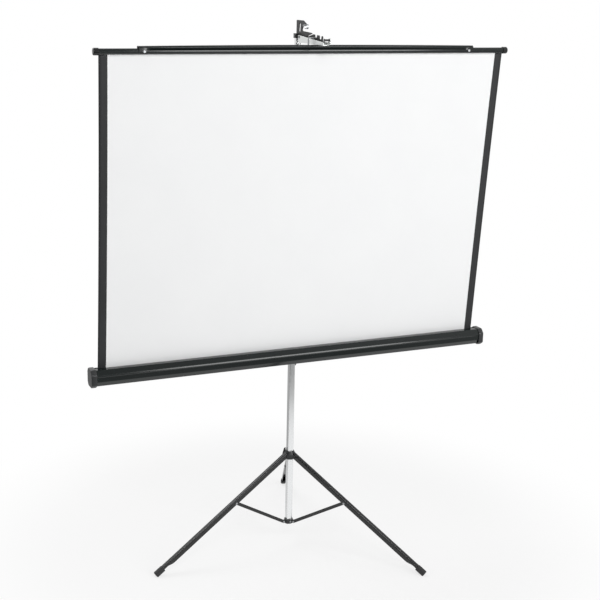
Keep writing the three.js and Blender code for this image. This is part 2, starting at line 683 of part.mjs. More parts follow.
/** Plain closed outline round the case, set off by a distance. */
function caseOutline(offset) {
  const [d, h] = [caseDepth / 2 + offset, caseHeight / 2 + offset];
  const s = sectionShare;
  const r = sectionRadius.bottom + offset;
  const at = ([v, w]) => [v * d, w * h, r];
  return filleted([
    at([s.frontTop, s.top]), at([s.ridge[0], s.shoulder[1]]), at([s.ridge[0], s.chin[1]]), at(s.bottomFront),
    at(s.bottomBack), at(s.backLow), at(s.backTop), at(s.backShoulder),
  ]);
}

const cap = { skirt: 14, wall: 7, proud: 3, rim: 4, rimSteps: 2, bearing: 4.5 };
const rollerCore = 14;
const rollerWall = 1.2;
const rollerOverhang = 3;
const rollerLength = sheetWidth + 2 * rollerOverhang;
const rollerPlug = { flange: 2.5, insert: 22, journal: 4 };
const springShaft = { radius: 3, length: 260 };
const spring = { radius: 9.5, wall: 3, length: 200 };
const woundRadius = Math.sqrt(rollerCore ** 2 + (sheetWound * sheetThickness) / Math.PI);
const capInner = caseLength / 2 + seatGap;
const journalEnd = capInner + cap.bearing - seatGap;

function buildCase() {
  const shell = prism(stripOutline(caseLine(), caseWall), caseLength, alongX);
  addPiece(stand, 'case_shell', shell, casePaint, 0, caseCentreY, caseCentreHeight);

  const depth = cap.skirt + cap.wall;
  const pocketDepth = cap.skirt + cutOverrun;
  [['left', -1], ['right', 1]].forEach(([side, sign]) => {
    const body = pillow(caseOutline(cap.proud), depth, cap.rim, cap.rimSteps, alongX)
      .translate([sign * (capInner + cap.wall - depth / 2), 0, 0]);
    const pocket = prism(caseOutline(seatGap), pocketDepth, alongX)
      .translate([sign * (capInner - pocketDepth / 2), 0, 0]);
    const bearing = rod(rollerPlug.journal + seatGap, capInner - cutOverrun, capInner + cap.bearing, aboutX);
    const placed = sign > 0 ? bearing : bearing.rotate([0, 0, 180]);
    const hollow = body.subtract(pocket).subtract(placed);
    addPiece(stand, `case_cap_${side}`, hollow, blackPlastic, 0, caseCentreY, caseCentreHeight);
  });
}

function buildRoller() {
  const tube = pipe(rollerCore, rollerCore - rollerWall, -rollerLength / 2, rollerLength / 2, aboutX);
  addPiece(stand, 'roller_tube', tube, steel, 0, caseCentreY, caseCentreHeight);

  const end = rollerLength / 2 + seatGap;
  const insertRadius = rollerCore - rollerWall - seatGap;
  const outline = [
    [insertRadius, end - rollerPlug.insert], [insertRadius, end], [rollerCore, end],
    [rollerCore, end + rollerPlug.flange],
    [rollerPlug.journal, end + rollerPlug.flange], [rollerPlug.journal, journalEnd],
  ];
  const idle = revolved([[0, end - rollerPlug.insert], ...outline, [0, journalEnd]], aboutX);
  addPiece(stand, 'roller_plug_right', idle, blackPlastic, 0, caseCentreY, caseCentreHeight);

  const bore = springShaft.radius + seatGap;
  const hollow = [
    [bore, end - rollerPlug.insert], [insertRadius, end - rollerPlug.insert], [insertRadius, end],
    [rollerCore, end], [rollerCore, end + rollerPlug.flange], [bore, end + rollerPlug.flange],
  ];
  const sprung = revolved(hollow, aboutX).rotate([0, 0, 180]);
  addPiece(stand, 'roller_plug_left', sprung, blackPlastic, 0, caseCentreY, caseCentreHeight);

  const shaftStart = end - rollerPlug.insert - springShaft.length;
  const shoulder = end + rollerPlug.flange + seatGap;
  const shaft = revolved([
    [0, shaftStart], [springShaft.radius, shaftStart], [springShaft.radius, shoulder],
    [rollerPlug.journal, shoulder], [rollerPlug.journal, journalEnd], [0, journalEnd],
  ], aboutX).rotate([0, 0, 180]);
  addPiece(stand, 'spring_shaft', shaft, steel, 0, caseCentreY, caseCentreHeight);

  const springEnd = end - rollerPlug.insert - seatGap;
  const springStart = springEnd - spring.length;
  const coil = pipe(insertRadius, springShaft.radius + seatGap, springStart, springEnd, aboutX)
    .rotate([0, 0, 180]);
  addPiece(stand, 'roller_spring', coil, steel, 0, caseCentreY, caseCentreHeight);

  const halfSheet = sheetWidth / 2;
  const wound = pipe(woundRadius, rollerCore + seatGap, -halfSheet, halfSheet, aboutX, clothSides);
  addPiece(stand, 'wound_sheet', wound, whiteFabric, 0, caseCentreY, caseCentreHeight);
}

// Sheet: it leaves the back of the roller and leans forward up to the bar
const sheetRadius = woundRadius + seatGap + sheetThickness / 2;
const sheetUp = new THREE.Vector2(-Math.sin(sheetLean), Math.cos(sheetLean));
const sheetStart = new THREE.Vector2(caseCentreY, caseCentreHeight)
  .addScaledVector(new THREE.Vector2(sheetUp.y, -sheetUp.x), sheetRadius);
const barPlace = sheetStart.clone().addScaledVector(sheetUp, sheetDrawn + seatGap + barRadius);

function buildSheet() {
  const sheet = solid(new THREE.BoxGeometry(sheetWidth, sheetThickness, sheetDrawn))
    .translate([0, 0, sheetDrawn / 2]);
  const piece = addPiece(stand, 'screen_sheet', sheet, whiteFabric, 0, sheetStart.x, sheetStart.y);
  piece.rotation.x = sheetLean;
}

// Carrying handle on the back of the case
const handle = { place: 230, span: 130, rise: 34, thickness: 7, width: 22, foot: 16, corner: 12 };

function buildHandle() {
  const [half, t] = [handle.span / 2, handle.thickness / 2];
  const path = filleted([
    [-half - handle.foot, t], [-half, t, handle.corner / 2], [-half, handle.rise, handle.corner],
    [half, handle.rise, handle.corner], [half, t, handle.corner / 2], [half + handle.foot, t],
  ], false);
  const grip = prism(stripOutline(path, handle.thickness), handle.width);
  const handleY = caseCentreY + caseDepth / 2 + seatGap;
  addPiece(stand, 'carry_handle', grip, blackPlastic, handle.place, handleY, caseCentreHeight);
}

// Head of the telescopic tube: a short socket under an upright plate. The plate's corners are
// [ahead of the tube, above the tube's top, radius]
const head = {
  wall: 3, socket: 13, cover: 3, corner: 3, plate: 4, shift: 2, rise: 7.3, out: 21.7, boss: 7,
  rivet: 2.2, rivetDrop: 5,
};
const plate = {
  top: 49.7, backRadius: 3, flat: [43, 49.7, 6], beak: [71.5, 38, 2], underBeak: [60, 33, 4],
  throat: [45, 31, 4], waist: [34, 18, 5], sill: [40, 13, 4], leafTop: [84, 11.5, 40],
  leafPoint: [127, 9, 1.5], leafLow: [90, 0, 40], belly: [50, -16, 14], chin: [24, -18, 4], root: [9, -14, 0],
};
const plateSlot = { back: 6.5, front: 20.5, low: 8, high: 40.5, lean: 4, radius: 6.5 };
const clip = {
  thickness: 1.4, cheek: 1.2, cheekHeight: 4, start: 14, nose: 10, curl: 15, back: 19, tail: 5, bend: 6,
};

// Arm: a tapering open channel with a notched rack inside its far wall
const arm = {
  width: 20, wall: 1.6, floor: 19.5, clear: 2, back: 9, reach: 206, backTop: 6.6, tipTop: -9.5, corner: 4,
  pivotPin: 3, tab: 18, tabTop: 5.3, tabLow: -12,
};
const rack = {
  tilt: THREE.MathUtils.degToRad(2.5), thickness: 3, nose: 7, top: 17, low: -10, rise: 31, riseTop: 1.4,
  plain: 88, land: 12, reach: 166, endRoom: 10, pitch: 38, notchWidth: 13, notchDepth: 12, peak: 6,
  rivet: 2, rivetDrop: 10,
};
const hookStrip = { thickness: 2.5, width: 8, clear: 10.4, bend: 4, below: 5, back: 5 };
const spool = { beyond: 8, drop: 1.2, radius: 3.5, stem: 3, flange: 5.3, rim: 1.8, near: 11, draft: 1.2 };
const spoolPlace = arm.reach + spool.beyond;
const headOuter = extensionSide + 2 * seatGap + 2 * head.wall;
const armPivotY = -(headOuter / 2 + head.out);
const bailRise = 8;
const bail = {
  inset: 145, rivetInset: 18, width: 25, wall: 1.5, cover: 2.3, flange: 11, earDrop: 14, earLength: 34,
};
const bailReach = barLength / 2 - bail.inset;
const bailRivet = bailReach - bail.rivetInset;
const bailTop = barPlace.y + barRadius + bail.cover + bailRise;
const armPivotHeight = bailTop + arm.clear + arm.floor;
const hookY = barPlace.x + hookStrip.back;
const rackRun = (armPivotY - hookY) / Math.cos(rack.tilt);
const rackInner = arm.width / 2 - arm.wall - seatGap - rack.thickness;
const extensionTop = armPivotHeight + head.rise;
const extensionBottom = extensionTop - extensionLength;

function buildExtension() {
  const rivetHole = rod(head.rivet + seatGap, -extensionSide, extensionSide, aboutX)
    .translate([0, 0, extensionLength - head.rivetDrop]);
  const tube = squareTube(extensionSide, extensionWall, extensionCorner, extensionLength).subtract(rivetHole);
  addPiece(stand, 'extension_tube', tube, zincSteel, 0, 0, extensionBottom);

  const plugSide = extensionSide - 2 * extensionWall - 2 * seatGap;
  const runner = prism(roundedBox(extensionSide, extensionSide, extensionCorner), footPlug.flange)
    .translate([0, 0, -footPlug.flange / 2])
    .add(prism(roundedBox(plugSide, plugSide, extensionCorner / 2), footPlug.insert + footPlug.flange)
      .translate([0, 0, (footPlug.insert - footPlug.flange) / 2]));
  addPiece(stand, 'extension_runner', runner, blackPlastic, 0, 0, extensionBottom - seatGap);
}

/** Corner of the head plate as [y, z, radius] about the top of the tube. */
function plateCorner([ahead, up, radius]) {
  return [-ahead, up, radius];
}

function buildHead() {
  const coverTop = seatGap + head.cover;
  const back = headOuter / 2;
  const socket = prism(roundedBox(headOuter, headOuter, head.corner), head.socket + head.cover)
    .translate([0, 0, coverTop - (head.socket + head.cover) / 2]);
  const boreSide = extensionSide + 2 * seatGap;
  const bore = prism(roundedBox(boreSide, boreSide, extensionCorner), head.socket + cutOverrun)
    .translate([0, 0, seatGap - (head.socket + cutOverrun) / 2]);
  const p = plate;
  const upright = prism(filleted([
    [back, 0, 0],
    [back, p.top, p.backRadius],
    ...[p.flat, p.beak, p.underBeak, p.throat, p.waist, p.sill, p.leafTop, p.leafPoint].map(plateCorner),
    ...[p.leafLow, p.belly, p.chin, p.root].map(plateCorner),
    [0, 0, 0],
  ]), head.plate, alongX, head.shift);
  const slot = prism(filleted([
    [-plateSlot.back, plateSlot.low, plateSlot.radius],
    [-plateSlot.back - plateSlot.lean, plateSlot.high, plateSlot.radius],
    [-plateSlot.front - plateSlot.lean, plateSlot.high, plateSlot.radius],
    [-plateSlot.front, plateSlot.low, plateSlot.radius],
  ]), head.plate + cutOverrun, alongX, head.shift);
  const bossFrom = arm.wall + seatGap - arm.width / 2;
  const boss = rod(head.boss, bossFrom, rackInner - seatGap, aboutX, roundSides, 0, armPivotY, -head.rise);
  const pivotHole = rod(arm.pivotPin + seatGap, -arm.width, arm.width, aboutX)
    .translate([0, armPivotY, -head.rise]);
  const rivetHole = rod(head.rivet + seatGap, -headOuter, headOuter, aboutX)
    .translate([0, 0, -head.rivetDrop]);
  const solidHead = socket.add(upright).subtract(slot).add(boss);
  const body = solidHead.subtract(bore).subtract(pivotHole).subtract(rivetHole);
  addPiece(stand, 'extension_head', body, blackPlastic, 0, 0, extensionTop);

  const rivet = headedPin(head.rivet, headOuter).rotate([0, 0, -90]);
  addPiece(stand, 'head_rivet', rivet, steel, 0, 0, extensionTop - head.rivetDrop);
}

/** Curled spring clip that grips the underside of the head's beak. */
function buildHeadClip() {
  const drop = seatGap + clip.thickness / 2;
  const line = [plate.throat, plate.underBeak, plate.beak]
    .map(([ahead, up]) => new THREE.Vector2(-ahead, up - drop));
  const start = line[1].clone().lerp(line[0], clip.start / line[1].distanceTo(line[0]));
  const nose = line[2].clone().add(new THREE.Vector2(-clip.nose, 0));
  const path = filleted([
    [start.x, start.y],
    [line[1].x, line[1].y, clip.bend],
    [line[2].x, line[2].y, clip.bend],
    [nose.x, nose.y, clip.bend],
    [nose.x, nose.y - clip.curl, clip.bend],
    [nose.x + clip.back, nose.y - clip.curl, clip.bend],
    [nose.x + clip.back, nose.y - clip.curl + clip.tail],
  ], false);
  const width = head.plate + 2 * seatGap + 2 * clip.cheek;
  const strip = prism(stripOutline(path, clip.thickness), width, alongX);
  const side = [
    start, line[1], line[1].clone().lerp(line[2], 1 / 2),
    line[1].clone().lerp(line[2], 1 / 2).add(new THREE.Vector2(0, clip.cheekHeight)),
    start.clone().add(new THREE.Vector2(0, clip.cheekHeight)),
  ];
  const cheeks = prism(side, width, alongX)
    .subtract(prism(side, head.plate + 2 * seatGap, alongX).translate([0, 0, clip.thickness / 2]));
  addPiece(stand, 'head_clip', strip.add(cheeks), steel, head.shift, 0, extensionTop);
}

/** Rack with rounded notches along its top edge; one of them lies under the bar. */
function rackOutline() {
  const before = Math.max(0, Math.floor((rackRun - rack.plain) / rack.pitch));
  const after = Math.max(0, Math.floor((rack.reach - rack.endRoom - rackRun) / rack.pitch));
  const points = [];
  for (let k = -before; k <= after; k += 1) {
    const centre = rackRun + k * rack.pitch;
    const w = rack.notchWidth / 2;
    points.push([centre - w - rack.peak / 2, rack.top, rack.peak / 2]);
    points.push([centre - w, rack.top - rack.notchDepth, rack.peak / 2]);
    points.push([centre + w, rack.top - rack.notchDepth, rack.peak / 2]);
    points.push([centre + w + rack.peak / 2, rack.top, rack.peak / 2]);
  }
  const first = rackRun - before * rack.pitch - (rack.notchWidth + rack.peak) / 2;
  return filleted([
    [-rack.nose, rack.low, rack.nose],
    [-rack.nose, rack.nose, rack.nose],
    [rack.nose, rack.nose, rack.nose],
    [rack.rise, rack.riseTop, rack.peak],
    [first - rack.land, rack.top, rack.peak],
    ...points,
    [rack.reach, rack.top, rack.peak],
    [rack.reach, rack.low, rack.peak],
  ]);
}

/** Side wall of the arm, its top edge falling from the pivot to the tip. */
function armWall(tip) {
  return prism(filleted([
    [-arm.back, -arm.floor, arm.corner],
    [-arm.back, arm.backTop, arm.corner],
    ...tip,
    [arm.reach, -arm.floor, arm.corner],
  ]), arm.wall, alongY);
}

function buildArm() {
  const frame = new THREE.Group();
  frame.position.set(0, armPivotY, armPivotHeight);
  frame.rotation.z = -Math.PI / 2;
  stand.add(frame);

  const wallPlace = (arm.width - arm.wall) / 2;
  const near = armWall([[arm.reach, arm.tipTop, arm.corner]]).translate([0, -wallPlace, 0]);
  const far = armWall([
    [arm.reach - arm.corner, arm.tipTop, arm.corner], [arm.reach, arm.tabTop, arm.corner],
    [arm.reach + arm.tab, arm.tabTop, arm.corner], [arm.reach + arm.tab, arm.tabLow, arm.corner],
  ]).translate([0, wallPlace, 0]);
  const floorLength = arm.reach - arm.corner;
  const floor = solid(new THREE.BoxGeometry(floorLength, arm.width, arm.wall))
    .translate([floorLength / 2, 0, -arm.floor + arm.wall / 2]);
  const pivotHole = rod(arm.pivotPin + seatGap, -arm.width, arm.width, aboutY);
  const spoolHole = rod(spool.stem + seatGap, 0, arm.width, aboutY, pinSides, spoolPlace, 0, -spool.drop);
  const rivetX = rackRun - rack.pitch / 2;
  const rivetHole = rod(rack.rivet + seatGap, 0, arm.width, aboutY, pinSides, rivetX, 0, -rack.rivetDrop);
  const body = far.add(near).add(floor).subtract(pivotHole).subtract(spoolHole).subtract(rivetHole);
  addPiece(frame, 'keystone_arm', body, paleMetal);
  addPiece(frame, 'arm_pivot_pin', headedPin(arm.pivotPin, arm.width), steel);

  const rackMiddle = rackInner + rack.thickness / 2;
  const rackBody = prism(rackOutline(), rack.thickness, alongY)
    .rotate([0, THREE.MathUtils.radToDeg(rack.tilt), 0])
    .translate([0, rackMiddle, 0])
    .subtract(pivotHole)
    .subtract(rivetHole);
  addPiece(frame, 'arm_rack', rackBody, blackPlastic);
  const gripped = arm.width / 2 - rackInner;
  const rackRivet = headedPin(rack.rivet, gripped);
  addPiece(frame, 'rack_rivet', rackRivet, steel, rivetX, rackInner + gripped / 2, -rack.rivetDrop);

  const inside = arm.width / 2 - arm.wall - seatGap;
  const outside = arm.width / 2 + seatGap;
  const spoolPin = revolved([
    [0, -spool.near], [spool.flange, -spool.near], [spool.flange, spool.rim - spool.near],
    [spool.radius, spool.rim + spool.draft - spool.near], [spool.radius, inside - spool.draft],
    [spool.flange, inside], [spool.stem, inside], [spool.stem, outside], [spool.flange, outside],
    [spool.flange, outside + spool.rim], [0, outside + spool.rim],
  ], aboutY, pinSides);
  addPiece(frame, 'arm_tip_pin', spoolPin, blackPlastic, spoolPlace, 0, -spool.drop);
}

/** Straight pin with a head at each end, just outside what it passes through. */
function headedPin(radius, width) {
  const inner = width / 2 + seatGap;
  const outer = inner + legPin.headHeight;
  const rim = radius + legPin.headHeight;
  return revolved([
    [0, -outer], [rim, -outer], [rim, -inner], [radius, -inner],
    [radius, inner], [rim, inner], [rim, outer], [0, outer],
  ], aboutY, pinSides);
}

// Bar, its caps, and the bowed bail that the arm holds
const barCap = { skirt: 13, wall: 5, radius: 12.2, rim: 2 };

function buildBar() {
  const place = [0, barPlace.x, barPlace.y];
  let tube = pipe(barRadius, barRadius - barWall, -barLength / 2, barLength / 2, aboutX);
  [-1, 1].forEach((sign) => {
    const rivetHole = rod(legPin.radius + seatGap, -bail.width, bail.width, aboutY);
    tube = tube.subtract(rivetHole.translate([sign * bailRivet, 0, 0]));
  });
  addPiece(stand, 'top_bar', tube, blackPaint, ...place);
  [['left', -1], ['right', 1]].forEach(([side, sign]) => {
    const end = barLength / 2 + seatGap;
    const body = revolved([
      [barRadius + seatGap, end - barCap.skirt], [barCap.radius, end - barCap.skirt],
      [barCap.radius, end + barCap.wall - barCap.rim], [barCap.radius - barCap.rim, end + barCap.wall],
      [0, end + barCap.wall], [0, end], [barRadius + seatGap, end],
    ], aboutX);
    addPiece(stand, `bar_cap_${side}`, sign > 0 ? body : body.rotate([0, 0, 180]), blackPlastic, ...place);
  });
}

/** Height of the bail's top edge over the bar's axis, bowed up between its rivets. */
function bailHeight(x) {
  const share = Math.min(1, Math.abs(x) / bailReach);
  return barRadius + bail.cover + bailRise * (1 - share ** 2);
}

function buildBail() {
  const xs = Array.from({ length: bailSteps + 1 }, (_, k) => bailReach * ((2 * k) / bailSteps - 1));
  const ear = bailReach - bail.earLength;
  const lower = (x) => bailHeight(x) - bail.flange;
  const earBottom = bailHeight(bailReach) - bail.earDrop;
  const under = xs.filter((x) => Math.abs(x) < ear);
  const outer = prism([
    ...xs.map((x) => new THREE.Vector2(x, bailHeight(x))),
    new THREE.Vector2(bailReach, earBottom),
    new THREE.Vector2(ear + bail.earDrop / 2, earBottom),
    new THREE.Vector2(ear, lower(ear)),
    ...under.reverse().map((x) => new THREE.Vector2(x, lower(x))),
    new THREE.Vector2(-ear, lower(ear)),
    new THREE.Vector2(-ear - bail.earDrop / 2, earBottom),
    new THREE.Vector2(-bailReach, earBottom),
  ], bail.width, alongY);
  const room = prism([
    new THREE.Vector2(-bailReach - cutOverrun, bailHeight(bailReach) - bail.wall),
    ...xs.map((x) => new THREE.Vector2(x, bailHeight(x) - bail.wall)),
    new THREE.Vector2(bailReach + cutOverrun, bailHeight(bailReach) - bail.wall),
    new THREE.Vector2(bailReach + cutOverrun, earBottom - cutOverrun),
    new THREE.Vector2(-bailReach - cutOverrun, earBottom - cutOverrun),
  ], bail.width - 2 * bail.wall, alongY);
  let body = outer.subtract(room);
  [-1, 1].forEach((sign) => {
    const slot = roundedBox(hookStrip.thickness + 2 * seatGap, hookStrip.width + 2 * seatGap, 0);
    const rivetHole = rod(legPin.radius + seatGap, -bail.width, bail.width, aboutY);
    body = body
      .subtract(rivetHole.translate([sign * bailRivet, 0, 0]))
      .subtract(prism(slot, bail.flange).translate([sign * hookLegX, hookStrip.back, bailHeight(0)]));
  });
  addPiece(stand, 'bail', body, blackPaint, 0, barPlace.x, barPlace.y);

  [['left', -1], ['right', 1]].forEach(([side, sign]) => {
    const rivet = headedPin(legPin.radius, bail.width);
    addPiece(stand, `bail_rivet_${side}`, rivet, steel, sign * bailRivet, barPlace.x, barPlace.y);
  });
}

const hookLegX = arm.width / 2 + hookStrip.clear + hookStrip.thickness / 2;

function buildBailHook() {
  const fall = rackRun * Math.sin(rack.tilt);
  const notchFloor = armPivotHeight - fall + (rack.top - rack.notchDepth) * Math.cos(rack.tilt);
  const top = notchFloor + seatGap + hookStrip.width * Math.sin(rack.tilt) + hookStrip.thickness / 2;
  const bottom = bailTop - bail.wall - hookStrip.below;
  const path = filleted([
    [-hookLegX, bottom], [-hookLegX, top, hookStrip.bend], [hookLegX, top, hookStrip.bend],
    [hookLegX, bottom],
  ], false);
  const hook = prism(stripOutline(path, hookStrip.thickness), hookStrip.width, alongY);
  addPiece(stand, 'bail_hook', hook, steel, 0, hookY);
}

buildPole();
buildExtensionLock();
buildHub();
buildHubLatch();
buildCollar();
buildLegs();
buildCarriage();
buildSwivel();
buildCase();
buildRoller();
buildSheet();
buildHandle();
buildExtension();
buildHead();
buildHeadClip();
buildArm();
buildBar();
buildBail();
buildBailHook();

// The origin is under the middle of the part, on the floor
const part = new THREE.Group();
part.add(stand);
part.updateMatrixWorld(true);
const bounds = new THREE.Box3().setFromObject(part, true);
const middle = bounds.getCenter(new THREE.Vector3());
stand.position.set(-middle.x, -middle.y, -bounds.min.z);
part.updateMatrixWorld(true);

export default part;
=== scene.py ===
"""Tripod projector screen: camera, floor, light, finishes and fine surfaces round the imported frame."""

import json
import math

import bmesh
import bpy
import numpy as np
from mathutils import Matrix, Vector


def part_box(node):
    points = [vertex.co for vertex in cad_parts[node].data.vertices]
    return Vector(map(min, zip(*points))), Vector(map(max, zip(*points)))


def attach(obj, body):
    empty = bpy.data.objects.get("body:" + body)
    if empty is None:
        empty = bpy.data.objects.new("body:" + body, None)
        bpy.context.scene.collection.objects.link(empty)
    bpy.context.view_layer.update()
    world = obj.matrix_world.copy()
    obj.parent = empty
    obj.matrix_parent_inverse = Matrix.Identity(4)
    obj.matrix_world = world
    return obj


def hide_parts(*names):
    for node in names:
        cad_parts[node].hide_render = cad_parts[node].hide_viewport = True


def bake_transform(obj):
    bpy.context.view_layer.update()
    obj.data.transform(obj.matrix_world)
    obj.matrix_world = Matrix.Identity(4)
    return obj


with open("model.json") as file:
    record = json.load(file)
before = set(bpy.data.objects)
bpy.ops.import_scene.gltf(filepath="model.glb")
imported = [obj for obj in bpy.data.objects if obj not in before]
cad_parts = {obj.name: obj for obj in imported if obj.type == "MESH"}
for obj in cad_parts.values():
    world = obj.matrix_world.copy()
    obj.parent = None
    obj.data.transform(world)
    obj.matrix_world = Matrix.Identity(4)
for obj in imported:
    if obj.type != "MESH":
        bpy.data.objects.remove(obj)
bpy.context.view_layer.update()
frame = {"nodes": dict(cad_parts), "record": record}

MM = 0.001


def middle(node):
    """Middle of a node's box."""
    low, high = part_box(node)
    return (low + high) / 2


def size(node):
    """Lengths of a node's box."""
    low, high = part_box(node)
    return high - low


POLE = middle("pole_tube")
ROLLER = middle("roller_tube")
BAR = middle("top_bar")


# Camera, measured from the foot of the pole

CAMERA_PLACE = Vector((-1.76199, -4.02953, 2.14366))
CAMERA_YAW = -0.4185
CAMERA_PITCH = 0.25648
CAMERA_ROLL = -0.02084
CAMERA_LENS = 72.59
CAMERA_SENSOR = 36.0
CAMERA_REACH = 100


def aim_camera():
    """Places the camera by its yaw, pitch and roll.

    Forward is the yaw and pitch direction, right is level, and both right and down are turned by the roll.
    """
    yaw, pitch, roll = CAMERA_YAW, CAMERA_PITCH, CAMERA_ROLL
    forward = Vector((-math.sin(yaw) * math.cos(pitch), math.cos(yaw) * math.cos(pitch), -math.sin(pitch)))
    level = Vector((math.cos(yaw), math.sin(yaw), 0))
    down = forward.cross(level)
    right = math.cos(roll) * level + math.sin(roll) * down
    below = -math.sin(roll) * level + math.cos(roll) * down
    data = bpy.data.cameras.new("camera")
    data.lens = CAMERA_LENS
    data.sensor_width = CAMERA_SENSOR
    data.clip_end = CAMERA_REACH
    camera = bpy.data.objects.new("camera", data)
    turn = Matrix((right, -below, -forward)).transposed().to_4x4()
    camera.matrix_world = Matrix.Translation(CAMERA_PLACE + Vector((POLE.x, POLE.y, 0))) @ turn
    bpy.context.scene.collection.objects.link(camera)
    bpy.context.scene.camera = camera


aim_camera()


# Nodes and node groups

def new_material(name):
    """A material, its node tree and its Principled shader."""
    material = bpy.data.materials.new(name)
    material.use_nodes = True
    tree = material.node_tree
    return material, tree, tree.nodes["Principled BSDF"]


def set_plain(shader, **values):
    """Sets plain numbers and colours on a shader's own sockets."""
    for name, value in values.items():
        shader.inputs[name.replace("_", " ").title().replace("Ior", "IOR")].default_value = value


def new_group(name, inputs, outputs):
    """An empty shader node group with named inputs and outputs, and its in and out nodes."""
    tree = bpy.data.node_groups.new(name, "ShaderNodeTree")
    for label, kind, value in inputs:
        socket = tree.interface.new_socket(label, in_out="INPUT", socket_type=kind)
        socket.default_value = value
    for label, kind in outputs:
        tree.interface.new_socket(label, in_out="OUTPUT", socket_type=kind)
    return tree, tree.nodes.new("NodeGroupInput"), tree.nodes.new("NodeGroupOutput")


def feed(tree, sockets, values):
    """Gives each socket its value, or links it where the value is another socket."""
    for socket, value in zip(sockets, values):
        if isinstance(value, (int, float, tuple)):
            socket.default_value = value
        else:
            tree.links.new(value, socket)


def maths(tree, operation, a, b, clamp=False):
    """A Math node on two sockets or numbers."""
    node = tree.nodes.new("ShaderNodeMath")
    node.operation = operation
    node.use_clamp = clamp
    feed(tree, node.inputs, (a, b))
    return node.outputs[0]


def blend_colours(tree, share, low, high):
    """Mixes two colours, sockets or values, by a share."""
    node = tree.nodes.new("ShaderNodeMix")
    node.data_type = "RGBA"
    feed(tree, (node.inputs[0], node.inputs[6], node.inputs[7]), (share, low, high))
    return node.outputs[2]


def between(tree, share, low, high):
    """Goes from one level to another by a share."""
    node = tree.nodes.new("ShaderNodeMix")
    feed(tree, (node.inputs[0], node.inputs[2], node.inputs[3]), (share, low, high))
    return node.outputs[0]


def ramp(tree, value, low, high, at_low=0.0, at_high=1.0):
    """A smooth step of a socket from one level to another."""
    node = tree.nodes.new("ShaderNodeMapRange")
    node.interpolation_type = "SMOOTHSTEP"
    labels = ("Value", "From Min", "From Max", "To Min", "To Max")
    feed(tree, [node.inputs[label] for label in labels], (value, low, high, at_low, at_high))
    return node.outputs["Result"]


def scale_colour(tree, colour, share):
    """A colour times a share."""
    node = tree.nodes.new("ShaderNodeVectorMath")
    node.operation = "SCALE"
    tree.links.new(colour, node.inputs[0])
    tree.links.new(share, node.inputs["Scale"])
    return node.outputs[0]


def noise(tree, scale, detail, stretch=(1, 1, 1), roughness=0.5):
    """Noise over the piece's own coordinates, stretched along an axis by a smaller number there."""
    coordinates = tree.nodes.new("ShaderNodeTexCoord")
    mapping = tree.nodes.new("ShaderNodeMapping")
    mapping.inputs["Scale"].default_value = stretch
    texture = tree.nodes.new("ShaderNodeTexNoise")
    texture.inputs["Scale"].default_value = scale
    texture.inputs["Detail"].default_value = detail
    texture.inputs["Roughness"].default_value = roughness
    tree.links.new(coordinates.outputs["Object"], mapping.inputs["Vector"])
    tree.links.new(mapping.outputs["Vector"], texture.inputs["Vector"])
    return texture.outputs["Fac"]


# Noises as scale, detail and further settings
CLOUD_NOISE = {"scale": 9.0, "detail": 4.0}
GRAIN_NOISE = {"scale": 1400.0, "detail": 2.0}
SCUFF_NOISE = {"scale": 160.0, "detail": 5.0, "roughness": 0.7}
STREAK_NOISE = {"scale": 900.0, "detail": 3.0, "stretch": (1, 1, 0.006)}
METAL_CLOUD_NOISE = {"scale": 14.0, "detail": 3.0}
CLOTH_CLOUD_NOISE = {"scale": 5.0, "detail": 3.0}


def make_finish_group():
    """Uneven finish: cloudy colour and roughness, and a height made of fine grain and slow waves.

    Colour is the base colour times one plus the cloud's swing, roughness is its middle value plus the
    swing of both noises, and height is the grain plus the waves.
    """
    tree, inside, outside = new_group(
        "uneven_finish",
        [("Colour", "NodeSocketColor", (0.5, 0.5, 0.5, 1)), ("Colour Swing", "NodeSocketFloat", 0.1),
         ("Roughness", "NodeSocketFloat", 0.4), ("Roughness Swing", "NodeSocketFloat", 0.1),
         ("Grain", "NodeSocketFloat", 0.5), ("Waves", "NodeSocketFloat", 0.5)],
        [("Colour", "NodeSocketColor"), ("Roughness", "NodeSocketFloat"), ("Height", "NodeSocketFloat")],
    )
    cloud = noise(tree, **CLOUD_NOISE)
    grain = noise(tree, **GRAIN_NOISE)
    scuff = noise(tree, **SCUFF_NOISE)
    swing = maths(tree, "MULTIPLY", maths(tree, "SUBTRACT", cloud, 0.5), inside.outputs["Colour Swing"])
    colour = scale_colour(tree, inside.outputs["Colour"], maths(tree, "ADD", swing, 1.0))
    tree.links.new(colour, outside.inputs["Colour"])
    both = maths(tree, "SUBTRACT", maths(tree, "ADD", cloud, scuff), 1.0)
    uneven = maths(tree, "MULTIPLY", both, inside.outputs["Roughness Swing"])
    rough = maths(tree, "ADD", uneven, inside.outputs["Roughness"], True)
    tree.links.new(rough, outside.inputs["Roughness"])
    fine = maths(tree, "MULTIPLY", grain, inside.outputs["Grain"])
    slow = maths(tree, "MULTIPLY", scuff, inside.outputs["Waves"])
    tree.links.new(maths(tree, "ADD", fine, slow), outside.inputs["Height"])
    return tree


